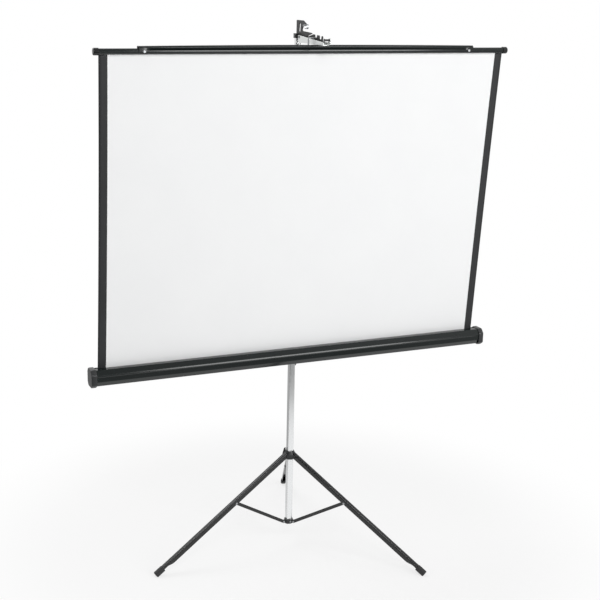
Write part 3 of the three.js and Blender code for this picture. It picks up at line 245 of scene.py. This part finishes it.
def make_streak_group():
    """Drawn metal: streaks along the piece's height in roughness, colour and height.

    Both colour and roughness swing with the sum of the streaks and a cloud, about their middle values.
    """
    tree, inside, outside = new_group(
        "drawn_streaks",
        [("Colour", "NodeSocketColor", (0.7, 0.7, 0.7, 1)), ("Colour Swing", "NodeSocketFloat", 0.1),
         ("Roughness", "NodeSocketFloat", 0.25), ("Roughness Swing", "NodeSocketFloat", 0.15)],
        [("Colour", "NodeSocketColor"), ("Roughness", "NodeSocketFloat"), ("Height", "NodeSocketFloat")],
    )
    streak = noise(tree, **STREAK_NOISE)
    cloud = noise(tree, **METAL_CLOUD_NOISE)
    both = maths(tree, "SUBTRACT", maths(tree, "ADD", streak, cloud), 1.0)
    lift = maths(tree, "ADD", maths(tree, "MULTIPLY", both, inside.outputs["Colour Swing"]), 1.0)
    tree.links.new(scale_colour(tree, inside.outputs["Colour"], lift), outside.inputs["Colour"])
    uneven = maths(tree, "MULTIPLY", both, inside.outputs["Roughness Swing"])
    rough = maths(tree, "ADD", uneven, inside.outputs["Roughness"], True)
    tree.links.new(rough, outside.inputs["Roughness"])
    tree.links.new(streak, outside.inputs["Height"])
    return tree


FINISH = make_finish_group()
STREAKS = make_streak_group()


def place_group(tree, group, **values):
    """Puts a node group in a material with its own values."""
    node = tree.nodes.new("ShaderNodeGroup")
    node.node_tree = group
    for name, value in values.items():
        node.inputs[name.replace("_", " ").title()].default_value = value
    return node


def bump_from(tree, shader, height, distance, strength=1.0):
    """Feeds a height to the shader's normal through a Bump node."""
    bump = tree.nodes.new("ShaderNodeBump")
    bump.inputs["Strength"].default_value = strength
    bump.inputs["Distance"].default_value = distance
    tree.links.new(height, bump.inputs["Height"])
    tree.links.new(bump.outputs["Normal"], shader.inputs["Normal"])


def wear_group(name, group, bump, **values):
    """A material whose colour, roughness and bump come from a node group with its own values."""
    material, tree, shader = new_material(name)
    node = place_group(tree, group, **values)
    tree.links.new(node.outputs["Colour"], shader.inputs["Base Color"])
    tree.links.new(node.outputs["Roughness"], shader.inputs["Roughness"])
    bump_from(tree, shader, node.outputs["Height"], bump * MM)
    return material, shader


COAT_COLOUR_SWING = 0.2
METAL_COLOUR_SWING = 0.12


def coated(name, colour, roughness, grain, waves, bump, swing=0.12):
    """A painted, moulded or rubber finish on the uneven finish group, its bump in millimetres."""
    return wear_group(name, FINISH, bump, colour=(*colour, 1), colour_swing=COAT_COLOUR_SWING,
                      roughness=roughness, roughness_swing=swing, grain=grain, waves=waves)[0]


def drawn_metal(name, colour, roughness, swing=0.12, bump=0.004):
    """A bare or plated metal on the drawn streaks group, its bump in millimetres."""
    material, shader = wear_group(name, STREAKS, bump, colour=(*colour, 1), colour_swing=METAL_COLOUR_SWING,
                                  roughness=roughness, roughness_swing=swing)
    set_plain(shader, metallic=1.0)
    return material


BORDER = 30 * MM
CLOTH_WHITE = ((0.88, 0.885, 0.89, 1), (0.915, 0.92, 0.92, 1))
CLOTH_BLACK = ((0.024, 0.025, 0.026, 1), (0.042, 0.043, 0.045, 1))
CLOTH_ROUGHNESS = 0.85
BORDER_SMOOTHER = 0.3
CLOTH_SPECULAR = 0.25
THREAD_PITCH = 0.55 * MM
WEAVE_HEIGHT = 0.03 * MM
WEAVE_STRENGTH = 0.6


def screen_cloth():
    """White coated cloth with a fine weave, and black borders where the distance from the side edge is small.

    The weave's height is the product of two sine waves, and the attribute edge holds the distance from the
    nearer side edge in metres.
    """
    material, tree, shader = new_material("screen_cloth")
    edge = tree.nodes.new("ShaderNodeAttribute")
    edge.attribute_name = "edge"
    border = maths(tree, "LESS_THAN", edge.outputs["Fac"], BORDER)
    cloud = noise(tree, **CLOTH_CLOUD_NOISE)
    white = blend_colours(tree, cloud, *CLOTH_WHITE)
    black = blend_colours(tree, cloud, *CLOTH_BLACK)
    tree.links.new(blend_colours(tree, border, white, black), shader.inputs["Base Color"])
    coordinates = tree.nodes.new("ShaderNodeTexCoord")
    axes = tree.nodes.new("ShaderNodeSeparateXYZ")
    tree.links.new(coordinates.outputs["Object"], axes.inputs[0])
    waves_per_metre = 2 * math.pi / THREAD_PITCH
    threads = [maths(tree, "SINE", maths(tree, "MULTIPLY", axes.outputs[i], waves_per_metre), 0)
               for i in (0, 2)]
    bump_from(tree, shader, maths(tree, "MULTIPLY", *threads), WEAVE_HEIGHT, WEAVE_STRENGTH)
    smoother = maths(tree, "MULTIPLY", border, BORDER_SMOOTHER)
    tree.links.new(maths(tree, "SUBTRACT", CLOTH_ROUGHNESS, smoother), shader.inputs["Roughness"])
    set_plain(shader, specular_ior_level=CLOTH_SPECULAR)
    return material


CASE_PAINT = coated("case_paint", colour=(0.004, 0.0075, 0.0072), roughness=0.13, grain=0.1, waves=0.5,
                    bump=0.006, swing=0.08)
LEG_PAINT = coated("leg_enamel", colour=(0.008, 0.0085, 0.009), roughness=0.1, grain=0.05, waves=0.6,
                   bump=0.006, swing=0.08)
CAP_PLASTIC = coated("cap_plastic", colour=(0.03, 0.032, 0.033), roughness=0.32, grain=0.6, waves=0.3,
                     bump=0.015)
CAP_GLOSS = coated("bar_cap_gloss", colour=(0.012, 0.013, 0.013), roughness=0.14, grain=0.3, waves=0.3,
                   bump=0.008, swing=0.06)
BLACK_PLASTIC = coated("moulded_nylon", colour=(0.016, 0.017, 0.018), roughness=0.42, grain=0.8, waves=0.4,
                       bump=0.03)
RUBBER = coated("shoe_rubber", colour=(0.016, 0.016, 0.017), roughness=0.6, grain=0.8, waves=0.8, bump=0.05)
POLE_METAL = drawn_metal("pole_plate", colour=(0.83, 0.84, 0.845), roughness=0.2)
ARM_METAL = drawn_metal("arm_zinc", colour=(0.86, 0.88, 0.87), roughness=0.36, swing=0.16, bump=0.006)
RIVET_STEEL = drawn_metal("rivet_zinc", colour=(0.34, 0.35, 0.36), roughness=0.34)
CLOTH = screen_cloth()

SLOT_FINISH = {
    "pole_metal": POLE_METAL, "black_plastic": BLACK_PLASTIC, "leg_paint": LEG_PAINT, "rubber": RUBBER,
    "rivet_steel": RIVET_STEEL, "case_paint": CASE_PAINT, "cap_plastic": CAP_PLASTIC, "screen_fabric": CLOTH,
    "arm_metal": ARM_METAL,
}
NODE_SLOT = {s["node"]: s["material_slot"] for s in frame["record"]["subparts"]}
NODE_BODY = {n: b for b, ns in frame["record"]["behaviour"]["bodies"].items() for n in ns}


# Pieces

MERGE_GAP = 0.01 * MM
FLAT_ANGLE = 1
SHARP_ANGLE = 38
BEVEL_SEGMENTS = 2


def place_mesh(name, mesh):
    """A smooth shaded object at the origin for a mesh."""
    mesh.polygons.foreach_set("use_smooth", np.full(len(mesh.polygons), True))
    piece = bpy.data.objects.new(name, mesh)
    bpy.context.scene.collection.objects.link(piece)
    return piece


def new_piece(name, vertices, faces, material):
    """A mesh object at the origin from arrays of points and faces, with its doubles merged and faces out."""
    mesh = bpy.data.meshes.new(name)
    points = np.asarray(vertices, float).reshape(-1, 3).tolist()
    mesh.from_pydata(points, [], [list(map(int, f)) for f in faces])
    work = bmesh.new()
    work.from_mesh(mesh)
    bmesh.ops.remove_doubles(work, verts=work.verts, dist=MERGE_GAP)
    bmesh.ops.recalc_face_normals(work, faces=work.faces)
    work.to_mesh(mesh)
    work.free()
    mesh.materials.append(material)
    return place_mesh(name, mesh)


def grid_faces(rows, columns, wrap_columns=False):
    """Quads of a grid of points stored row by row, with its columns joined round where asked."""
    r = np.arange(rows - 1)
    c = np.arange(columns if wrap_columns else columns - 1)
    r, c = (a.ravel() for a in np.meshgrid(r, c, indexing="ij"))
    r2, c2 = r + 1, (c + 1) % columns
    return np.stack([r * columns + c, r * columns + c2, r2 * columns + c2, r2 * columns + c], axis=1)


def keep_sharp(piece, degrees, bevel=0.0):
    """Marks edges that turn more than an angle, and rounds them by a small bevel in millimetres."""
    if bevel:
        modifier = piece.modifiers.new("edges", "BEVEL")
        modifier.width = bevel * MM
        modifier.segments = BEVEL_SEGMENTS
        modifier.limit_method = "ANGLE"
        modifier.angle_limit = math.radians(degrees)
        modifier.use_clamp_overlap = True
        modifier.harden_normals = True
    piece.data.set_sharp_from_angle(angle=math.radians(degrees))
    return piece


def stand_for(piece, node):
    """Puts a piece in place of a node: the node is hidden and the piece goes on the node's body."""
    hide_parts(node)
    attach(piece, NODE_BODY[node])


def dress(node, bevel):
    """A smooth copy of a node: its triangles are merged to flat faces and its sharp edges are rounded.

    Normals are weighted by area, so that flats stay flat and bends take up the whole turn.
    """
    mesh = frame["nodes"][node].data.copy()
    work = bmesh.new()
    work.from_mesh(mesh)
    bmesh.ops.remove_doubles(work, verts=work.verts, dist=MERGE_GAP)
    bmesh.ops.dissolve_limit(work, angle_limit=math.radians(FLAT_ANGLE), verts=work.verts, edges=work.edges)
    work.to_mesh(mesh)
    work.free()
    mesh.name = f"{node}_fine"
    mesh.materials.clear()
    mesh.materials.append(SLOT_FINISH[NODE_SLOT[node]])
    piece = keep_sharp(place_mesh(f"{node}_fine", mesh), SHARP_ANGLE, bevel)
    piece.modifiers.new("flats", "WEIGHTED_NORMAL").keep_sharp = True
    stand_for(piece, node)


TURNED_SIDES = 64


def turned(name, profile, material, centre):
    """A body of revolution along x: a profile of places along the axis and radii, closed at both ends."""
    profile = np.asarray(profile, float)
    angles = np.linspace(0, 2 * np.pi, TURNED_SIDES, endpoint=False)
    along = np.repeat(profile[:, 0], TURNED_SIDES)
    radius = np.repeat(profile[:, 1], TURNED_SIDES)
    around = np.tile(angles, len(profile))
    points = np.stack([along, radius * np.cos(around), radius * np.sin(around)], axis=1) + np.array(centre)
    first = list(range(TURNED_SIDES))
    last = [(len(profile) - 1) * TURNED_SIDES + k for k in first]
    faces = list(grid_faces(len(profile), TURNED_SIDES, wrap_columns=True)) + [first, last]
    return new_piece(name, points, faces, material)


# Sheet

SHEET_THICKNESS = 0.6 * MM
SHEET_WALL = 0.45 * MM
SHEET_WAIST = 2.2 * MM
WAIST_POWER = 6
SHEET_RIPPLE = 0.8 * MM
RIPPLE_TURNS = (9, 4, 5)
SHEET_COLUMNS = 161
SHEET_ROWS = 121


def sheet_points(across, up):
    """Points of the drawn sheet for shares across its width and up its length.

    Its plane runs from the roller's back tangent to the underside of the bar, each side edge draws in by a
    parabola towards mid height, and slow ripples along the width fade out at both ends.
    """
    low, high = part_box("screen_sheet")
    half = (high.x - low.x) / 2
    start = np.array([0, high.y - SHEET_THICKNESS / 2, low.z])
    end = np.array([0, low.y + SHEET_THICKNESS / 2, high.z])
    drawn_in = SHEET_WAIST * 4 * up * (1 - up) * np.abs(2 * across - 1) ** WAIST_POWER
    x = (2 * across - 1) * (half - drawn_in)
    wide, tall, cross = RIPPLE_TURNS
    swell = np.sin(wide * across + tall * up) * np.cos(cross * across)
    ripple = SHEET_RIPPLE * np.sin(np.pi * up) ** 2 * swell
    run = start + up[..., None] * (end - start)
    return np.stack([x, run[..., 1] + ripple, run[..., 2]], axis=-1)


def read_points(piece):
    """A piece's points as rows of three."""
    points = np.zeros(len(piece.data.vertices) * 3)
    piece.data.vertices.foreach_get("co", points)
    return points.reshape(-1, 3)


def finish_cloth(piece, edge_distance, wall):
    """Writes the distance from the side edge on a cloth's points and gives it its wall."""
    edge = piece.data.attributes.new("edge", "FLOAT", "POINT")
    edge.data.foreach_set("value", edge_distance.astype(np.float32))
    modifier = piece.modifiers.new("wall", "SOLIDIFY")
    modifier.thickness = wall
    modifier.offset = 0


def make_sheet():
    """The drawn cloth as a grid of fine faces with a thin wall, bending between the case and the bar."""
    side = BORDER / size("screen_sheet").x
    across = np.unique(np.concatenate([np.linspace(0, 1, SHEET_COLUMNS), [side, 1 - side]]))
    up = np.linspace(0, 1, SHEET_ROWS)
    grid = sheet_points(*np.meshgrid(across, up))
    piece = new_piece("drawn_sheet", grid, grid_faces(SHEET_ROWS, len(across)), CLOTH)
    points = read_points(piece)
    share = (points[:, 2] - points[:, 2].min()) / np.ptp(points[:, 2])
    half = size("screen_sheet").x / 2 - SHEET_WAIST * 4 * share * (1 - share)
    finish_cloth(piece, half - np.abs(points[:, 0]), SHEET_WALL)
    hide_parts("screen_sheet")
    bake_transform(piece)


WOUND_TURNS = 5
WOUND_STEPS = 48
WOUND_WALL = 0.35 * MM
WOUND_START_GAP = 0.35 * MM
WOUND_END_GAP = 0.2 * MM


def make_wound_sheet():
    """The turns left on the roller: a spiral whose radius grows evenly with the angle, from tube to tangent."""
    outer = size("wound_sheet").z / 2
    inner = size("roller_tube").z / 2 + WOUND_START_GAP
    whole = 2 * np.pi * WOUND_TURNS
    angles = np.linspace(-whole, 0, WOUND_STEPS * WOUND_TURNS + 1)
    radius = inner + (outer - WOUND_END_GAP - inner) * (1 + angles / whole)
    half = size("wound_sheet").x / 2
    xs = np.array([-half, -half + BORDER, 0, half - BORDER, half])
    y = ROLLER.y + radius * np.cos(angles)
    z = ROLLER.z + radius * np.sin(angles)
    across = [np.broadcast_to(xs, (len(angles), len(xs)))]
    around = [np.repeat(line, len(xs)).reshape(-1, len(xs)) for line in (y, z)]
    grid = np.stack(across + around, axis=-1)
    piece = new_piece("wound_turns", grid, grid_faces(len(angles), len(xs)), CLOTH)
    finish_cloth(piece, half - np.abs(read_points(piece)[:, 0]), WOUND_WALL)
    stand_for(piece, "wound_sheet")


# Bent strips: the case and the bail

ARC_STEPS = 7
SIDE_SHARE = 0.48
STRIP_SHARP = 32


def rounded_line(corners):
    """Points along a line whose corners are rounded by arcs.

    Each arc touches both sides at the radius over the tangent of half the corner's angle, and is cut short
    where a side is too short for it.
    """
    corners = np.asarray(corners, float)
    points = [corners[0, :2]]
    for before, here, after in zip(corners[:-2], corners[1:-1], corners[2:]):
        a, b = before[:2] - here[:2], after[:2] - here[:2]
        la, lb = np.hypot(*a), np.hypot(*b)
        a, b = a / la, b / lb
        half = math.acos(max(-1.0, min(1.0, float(a @ b)))) / 2
        reach = min(here[2] / math.tan(half), la * SIDE_SHARE, lb * SIDE_SHARE)
        radius = reach * math.tan(half)
        middle_line = (a + b) / np.hypot(*(a + b))
        centre = here[:2] + middle_line * radius / math.sin(half)
        start, end = here[:2] + a * reach - centre, here[:2] + b * reach - centre
        sweep = math.pi - 2 * half
        share = np.linspace(0, 1, ARC_STEPS)[:, None]
        arc = (np.sin((1 - share) * sweep) * start + np.sin(share * sweep) * end) / math.sin(sweep)
        points.extend(centre + arc)
    points.append(corners[-1, :2])
    return np.array(points)


def offset_line(line, distance):
    """The same line moved sideways: each point goes along the mean of its two sides' normals."""
    step = np.diff(line, axis=0)
    step /= np.hypot(step[:, 0], step[:, 1])[:, None]
    normal = np.stack([-step[:, 1], step[:, 0]], axis=1)
    both = np.vstack([normal[:1], normal[:-1] + normal[1:], normal[-1:]])
    both /= np.hypot(both[:, 0], both[:, 1])[:, None]
    lean = np.concatenate([[1], np.sum(both[1:-1] * normal[1:], axis=1), [1]])
    return line + both * (distance / lean)[:, None]


def wall_ring(corners, wall):
    """Closed ring round a rounded middle line: the line set off by half the wall each way."""
    line = rounded_line(corners)
    return np.vstack([offset_line(line, wall / 2), offset_line(line, -wall / 2)[::-1]]) * MM


def strip_piece(name, xs, rings, material):
    """A bent strip carried along x: one closed ring of section points for each place, the ends closed."""
    rows, count = rings.shape[:2]
    points = np.concatenate([np.repeat(xs, count)[:, None], rings.reshape(-1, 2)], axis=1)
    k = np.arange(count // 2 - 1)
    end = np.stack([k, k + 1, count - 2 - k, count - 1 - k], axis=1)
    faces = np.vstack([grid_faces(rows, count, wrap_columns=True), end[:, ::-1], end + (rows - 1) * count])
    return keep_sharp(new_piece(name, points, faces, material), STRIP_SHARP)


CASE_WALL = 1.4
CASE_MIDDLE_UP = 30 * MM
# Places across and up from the case's middle, and corner radius, from the front lip of the slot to the back
CASE_SECTION = [
    (9.3, 22, 0), (9.3, 29.3, 2.6), (-14.5, 29.3, 1.6), (-25.0, 16.4, 1.0), (-27.0, 13.4, 3.5),
    (-28.2, 8.8, 2.2), (-26.6, 6.6, 0.8), (-26.2, -10.6, 1.6), (-15.5, -27.6, 7), (-9, -29.3, 6),
    (17.5, -29.3, 9), (28.3, -17.6, 8), (28.3, 19.3, 8), (20.4, 29.3, 7), (17, 29.3, 2.6), (17, 22, 0),
]


def make_case_shell():
    """The rolled case: one section carried along the whole case."""
    low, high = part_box("case_shell")
    place = np.array([(low.y + high.y) / 2, low.z + CASE_MIDDLE_UP])
    ring = wall_ring(CASE_SECTION, CASE_WALL) + place
    piece = strip_piece("rolled_case", np.array([low.x, high.x]), np.stack([ring, ring]), CASE_PAINT)
    stand_for(piece, "case_shell")


BAIL_WALL = 1.5
BAIL_END_RISE = 5.3 * MM
BAIL_DEPTH = 11.0
BAIL_LEAN = -9.7
BAIL_EDGE = 11.7
BAIL_EAR = 34 * MM
EAR_FLARE = 10 * MM
BAIL_PLACES = 127


def bail_section(depth, lean):
    """Places across from the bail's middle and up from its top, and corner radius, for flanges of one depth.

    The front flange runs down to its own place across, so that it can lean back under the bend.
    """
    top = -BAIL_WALL / 2
    return [(BAIL_EDGE, -depth, 0), (BAIL_EDGE, top, 3), (-8.4, top, 3), (-BAIL_EDGE, -5.4, 1.5),
            (lean, -depth, 0)]


def make_bail():
    """The bowed channel over the bar: its top falls with the square of the distance from the middle.

    Its flanges grow from their plain depth to the ears' depth over the last stretch before each rivet.
    """
    low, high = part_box("bail")
    end_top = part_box("bar_cap_left")[1].z + BAIL_END_RISE
    half = high.x
    xs = np.linspace(-half, half, BAIL_PLACES)
    top = high.z - (high.z - end_top) * (xs / half) ** 2
    share = np.clip((np.abs(xs) - (half - BAIL_EAR)) / EAR_FLARE, 0, 1)
    plain = wall_ring(bail_section(BAIL_DEPTH, BAIL_LEAN), BAIL_WALL)
    ear = wall_ring(bail_section((end_top - low.z) / MM, -BAIL_EDGE), BAIL_WALL)
    rings = plain + share[:, None, None] * (ear - plain)
    rings = rings + np.stack([np.full(len(xs), (low.y + high.y) / 2), top], axis=1)[:, None, :]
    piece = strip_piece("bowed_bail", xs, rings, CASE_PAINT)
    stand_for(piece, "bail")


# Bar caps

CAP_EDGE = 3.4 * MM
CAP_WALL = 2 * MM
CAP_TIP = 0.2 * MM
CAP_EDGE_STEPS = 9
CAP_END_STEPS = 7
CAP_SHARP = 40


def make_bar_caps():
    """Moulded caps at the bar's ends: a straight skirt whose outer edge is rounded into a flat end."""
    angle = np.linspace(0, np.pi / 2, CAP_EDGE_STEPS)
    for side, sign in (("left", -1), ("right", 1)):
        node = f"bar_cap_{side}"
        low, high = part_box(node)
        radius = (high.z - low.z) / 2
        inner, outer = (high.x, low.x) if sign < 0 else (low.x, high.x)
        along = np.concatenate([[inner, inner], outer - sign * CAP_EDGE * (1 - np.sin(angle))])
        radii = np.concatenate([[radius - CAP_WALL, radius], radius - CAP_EDGE * (1 - np.cos(angle))])
        end = np.linspace(radii[-1], CAP_TIP, CAP_END_STEPS)[1:]
        along = np.concatenate([along, np.full(len(end), outer)])
        profile = np.stack([along, np.concatenate([radii, end])], axis=1)
        piece = turned(f"moulded_{node}", profile, CAP_GLOSS, (0, BAR.y, BAR.z))
        keep_sharp(piece, CAP_SHARP)
        stand_for(piece, node)


OWN_PIECES = ("screen_sheet", "wound_sheet", "case_shell", "bail", "bar_cap_left", "bar_cap_right")
EDGE_BEVEL = 0.35
TUBE_BEVEL = {"pole_tube": 0.2, "extension_tube": 0.2}

make_case_shell()
make_bail()
make_bar_caps()
make_sheet()
for node_name in sorted(frame["nodes"]):
    if node_name not in OWN_PIECES:
        dress(node_name, TUBE_BEVEL.get(node_name, EDGE_BEVEL))
make_wound_sheet()


# Floor, backdrop and light

WHITE = (1, 1, 1, 1)
FLOOR_SIZE = 60.0
FLOOR_COLOUR = (0.95, 0.95, 0.95, 1)
FLOOR_BOUNCE = (0.7, 0.7, 0.7, 1)
FLOOR_ROUGHNESS = 0.9
FLOOR_SPECULAR = 0.1
SHADOW_SHARE = 0.3
SHADOW_REACH = (0.75, 1.5)
# What gloss sees on the floor: levels, and the distances or places between which they change
FRONT_GLOSS = (0.1, 0.6)
FRONT_ACROSS = (0.0, 2.4)
FRONT_REACH = (1.3, 2.2)
BACK_GLOSS = (0.7, 0.43)
BACK_REACH = (0.65, 1.1)
BACK_START = (POLE.y - 0.1, POLE.y + 0.4)


def make_floor():
    """A white floor for camera and gloss rays, whose middle keeps a share of the object's shadow.

    The share falls smoothly with the distance from the foot of the pole. What gloss rays see falls with that
    distance too, at its own rate in front of the pole and behind it, and far in front it grows along x.
    """
    half = FLOOR_SIZE / 2
    corners = [(-half, -half, 0), (half, -half, 0), (half, half, 0), (-half, half, 0)]
    mesh = bpy.data.meshes.new("floor")
    mesh.from_pydata(corners, [], [(0, 1, 2, 3)])
    floor = bpy.data.objects.new("floor", mesh)
    bpy.context.scene.collection.objects.link(floor)
    material, tree, shader = new_material("floor")
    mesh.materials.append(material)
    set_plain(shader, roughness=FLOOR_ROUGHNESS, specular_ior_level=FLOOR_SPECULAR)
    coordinates = tree.nodes.new("ShaderNodeTexCoord")
    offset = tree.nodes.new("ShaderNodeVectorMath")
    offset.operation = "DISTANCE"
    offset.inputs[1].default_value = (POLE.x, POLE.y, 0)
    tree.links.new(coordinates.outputs["Object"], offset.inputs[0])
    away = offset.outputs["Value"]
    axes = tree.nodes.new("ShaderNodeSeparateXYZ")
    tree.links.new(coordinates.outputs["Object"], axes.inputs[0])
    path = tree.nodes.new("ShaderNodeLightPath")
    camera_ray = path.outputs["Is Camera Ray"]
    tree.links.new(blend_colours(tree, camera_ray, FLOOR_BOUNCE, FLOOR_COLOUR), shader.inputs["Base Color"])
    far = ramp(tree, axes.outputs["X"], *FRONT_ACROSS, *FRONT_GLOSS)
    front = between(tree, ramp(tree, away, *FRONT_REACH), 1.0, far)
    behind = ramp(tree, axes.outputs["Y"], *BACK_START)
    gloss = between(tree, behind, front, ramp(tree, away, *BACK_REACH, *BACK_GLOSS))
    glow = tree.nodes.new("ShaderNodeEmission")
    glow.inputs["Color"].default_value = WHITE
    tree.links.new(maths(tree, "MAXIMUM", camera_ray, gloss), glow.inputs["Strength"])
    seen = maths(tree, "MAXIMUM", camera_ray, path.outputs["Is Transmission Ray"])
    kept = ramp(tree, away, *SHADOW_REACH, 1 - SHADOW_SHARE, 1.0)
    share = maths(tree, "MAXIMUM", maths(tree, "MULTIPLY", seen, kept), path.outputs["Is Glossy Ray"])
    mix = tree.nodes.new("ShaderNodeMixShader")
    tree.links.new(share, mix.inputs[0])
    tree.links.new(shader.outputs[0], mix.inputs[1])
    tree.links.new(glow.outputs[0], mix.inputs[2])
    tree.links.new(mix.outputs[0], tree.nodes["Material Output"].inputs["Surface"])


WORLD_LEVEL = 0.4
# What gloss sees of the room: levels, and the ray directions between which they change
WALL_GLOSS = (1.0, 0.35)
WALL_ACROSS = (0.3, 0.46)
WALL_START = (-0.3, 0.2)
ROOM_GLOSS = (0.1, 0.8)
ROOM_ACROSS = (-0.1, 0.6)


def make_world():
    """Even soft light all round, white to the camera.

    Gloss sees a white wall behind and a dim room in front, which grows lighter from the left to the right.
    """
    world = bpy.data.worlds.new("studio")
    bpy.context.scene.world = world
    world.use_nodes = True
    tree = world.node_tree
    background = tree.nodes["Background"]
    path = tree.nodes.new("ShaderNodeLightPath")
    glossy_ray = path.outputs["Is Glossy Ray"]
    axes = tree.nodes.new("ShaderNodeSeparateXYZ")
    tree.links.new(tree.nodes.new("ShaderNodeTexCoord").outputs["Generated"], axes.inputs[0])
    front = ramp(tree, axes.outputs["X"], *ROOM_ACROSS, *ROOM_GLOSS)
    wall = ramp(tree, axes.outputs["X"], *WALL_ACROSS, *WALL_GLOSS)
    back = maths(tree, "MULTIPLY", ramp(tree, axes.outputs["Y"], *WALL_START), wall)
    gloss = maths(tree, "MULTIPLY", glossy_ray, maths(tree, "MAXIMUM", back, front))
    shown = maths(tree, "MAXIMUM", path.outputs["Is Camera Ray"], path.outputs["Is Transmission Ray"])
    plain = maths(tree, "MULTIPLY", maths(tree, "SUBTRACT", 1.0, glossy_ray), WORLD_LEVEL)
    level = maths(tree, "MAXIMUM", maths(tree, "MAXIMUM", shown, gloss), plain)
    background.inputs["Color"].default_value = WHITE
    tree.links.new(level, background.inputs["Strength"])


# Soft lamps: name, place, the point it faces, width, height and watts
LAMPS = [
    ("key", (-1.4, -4.1, 3.9), (0, 0, 1.0), 1.3, 1.3, 47),
    ("window", (1.7, -4.3, 2.3), (0.2, 0, 1.2), 1.9, 3.0, 100),
    ("back_top", (-2.2, 2.2, 4.6), (0, 0, 0.6), 3.0, 3.0, 76),
]


def area_light(name, place, target, width, height, power):
    """A rectangular soft lamp that faces a point."""
    data = bpy.data.lights.new(name, "AREA")
    data.shape = "RECTANGLE"
    data.size = width
    data.size_y = height
    data.energy = power
    lamp = bpy.data.objects.new(name, data)
    lamp.location = place
    lamp.rotation_euler = (Vector(target) - Vector(place)).to_track_quat("-Z", "Y").to_euler()
    bpy.context.scene.collection.objects.link(lamp)


make_floor()
make_world()
for lamp_values in LAMPS:
    area_light(*lamp_values)

bpy.context.scene.view_settings.view_transform = "Standard"
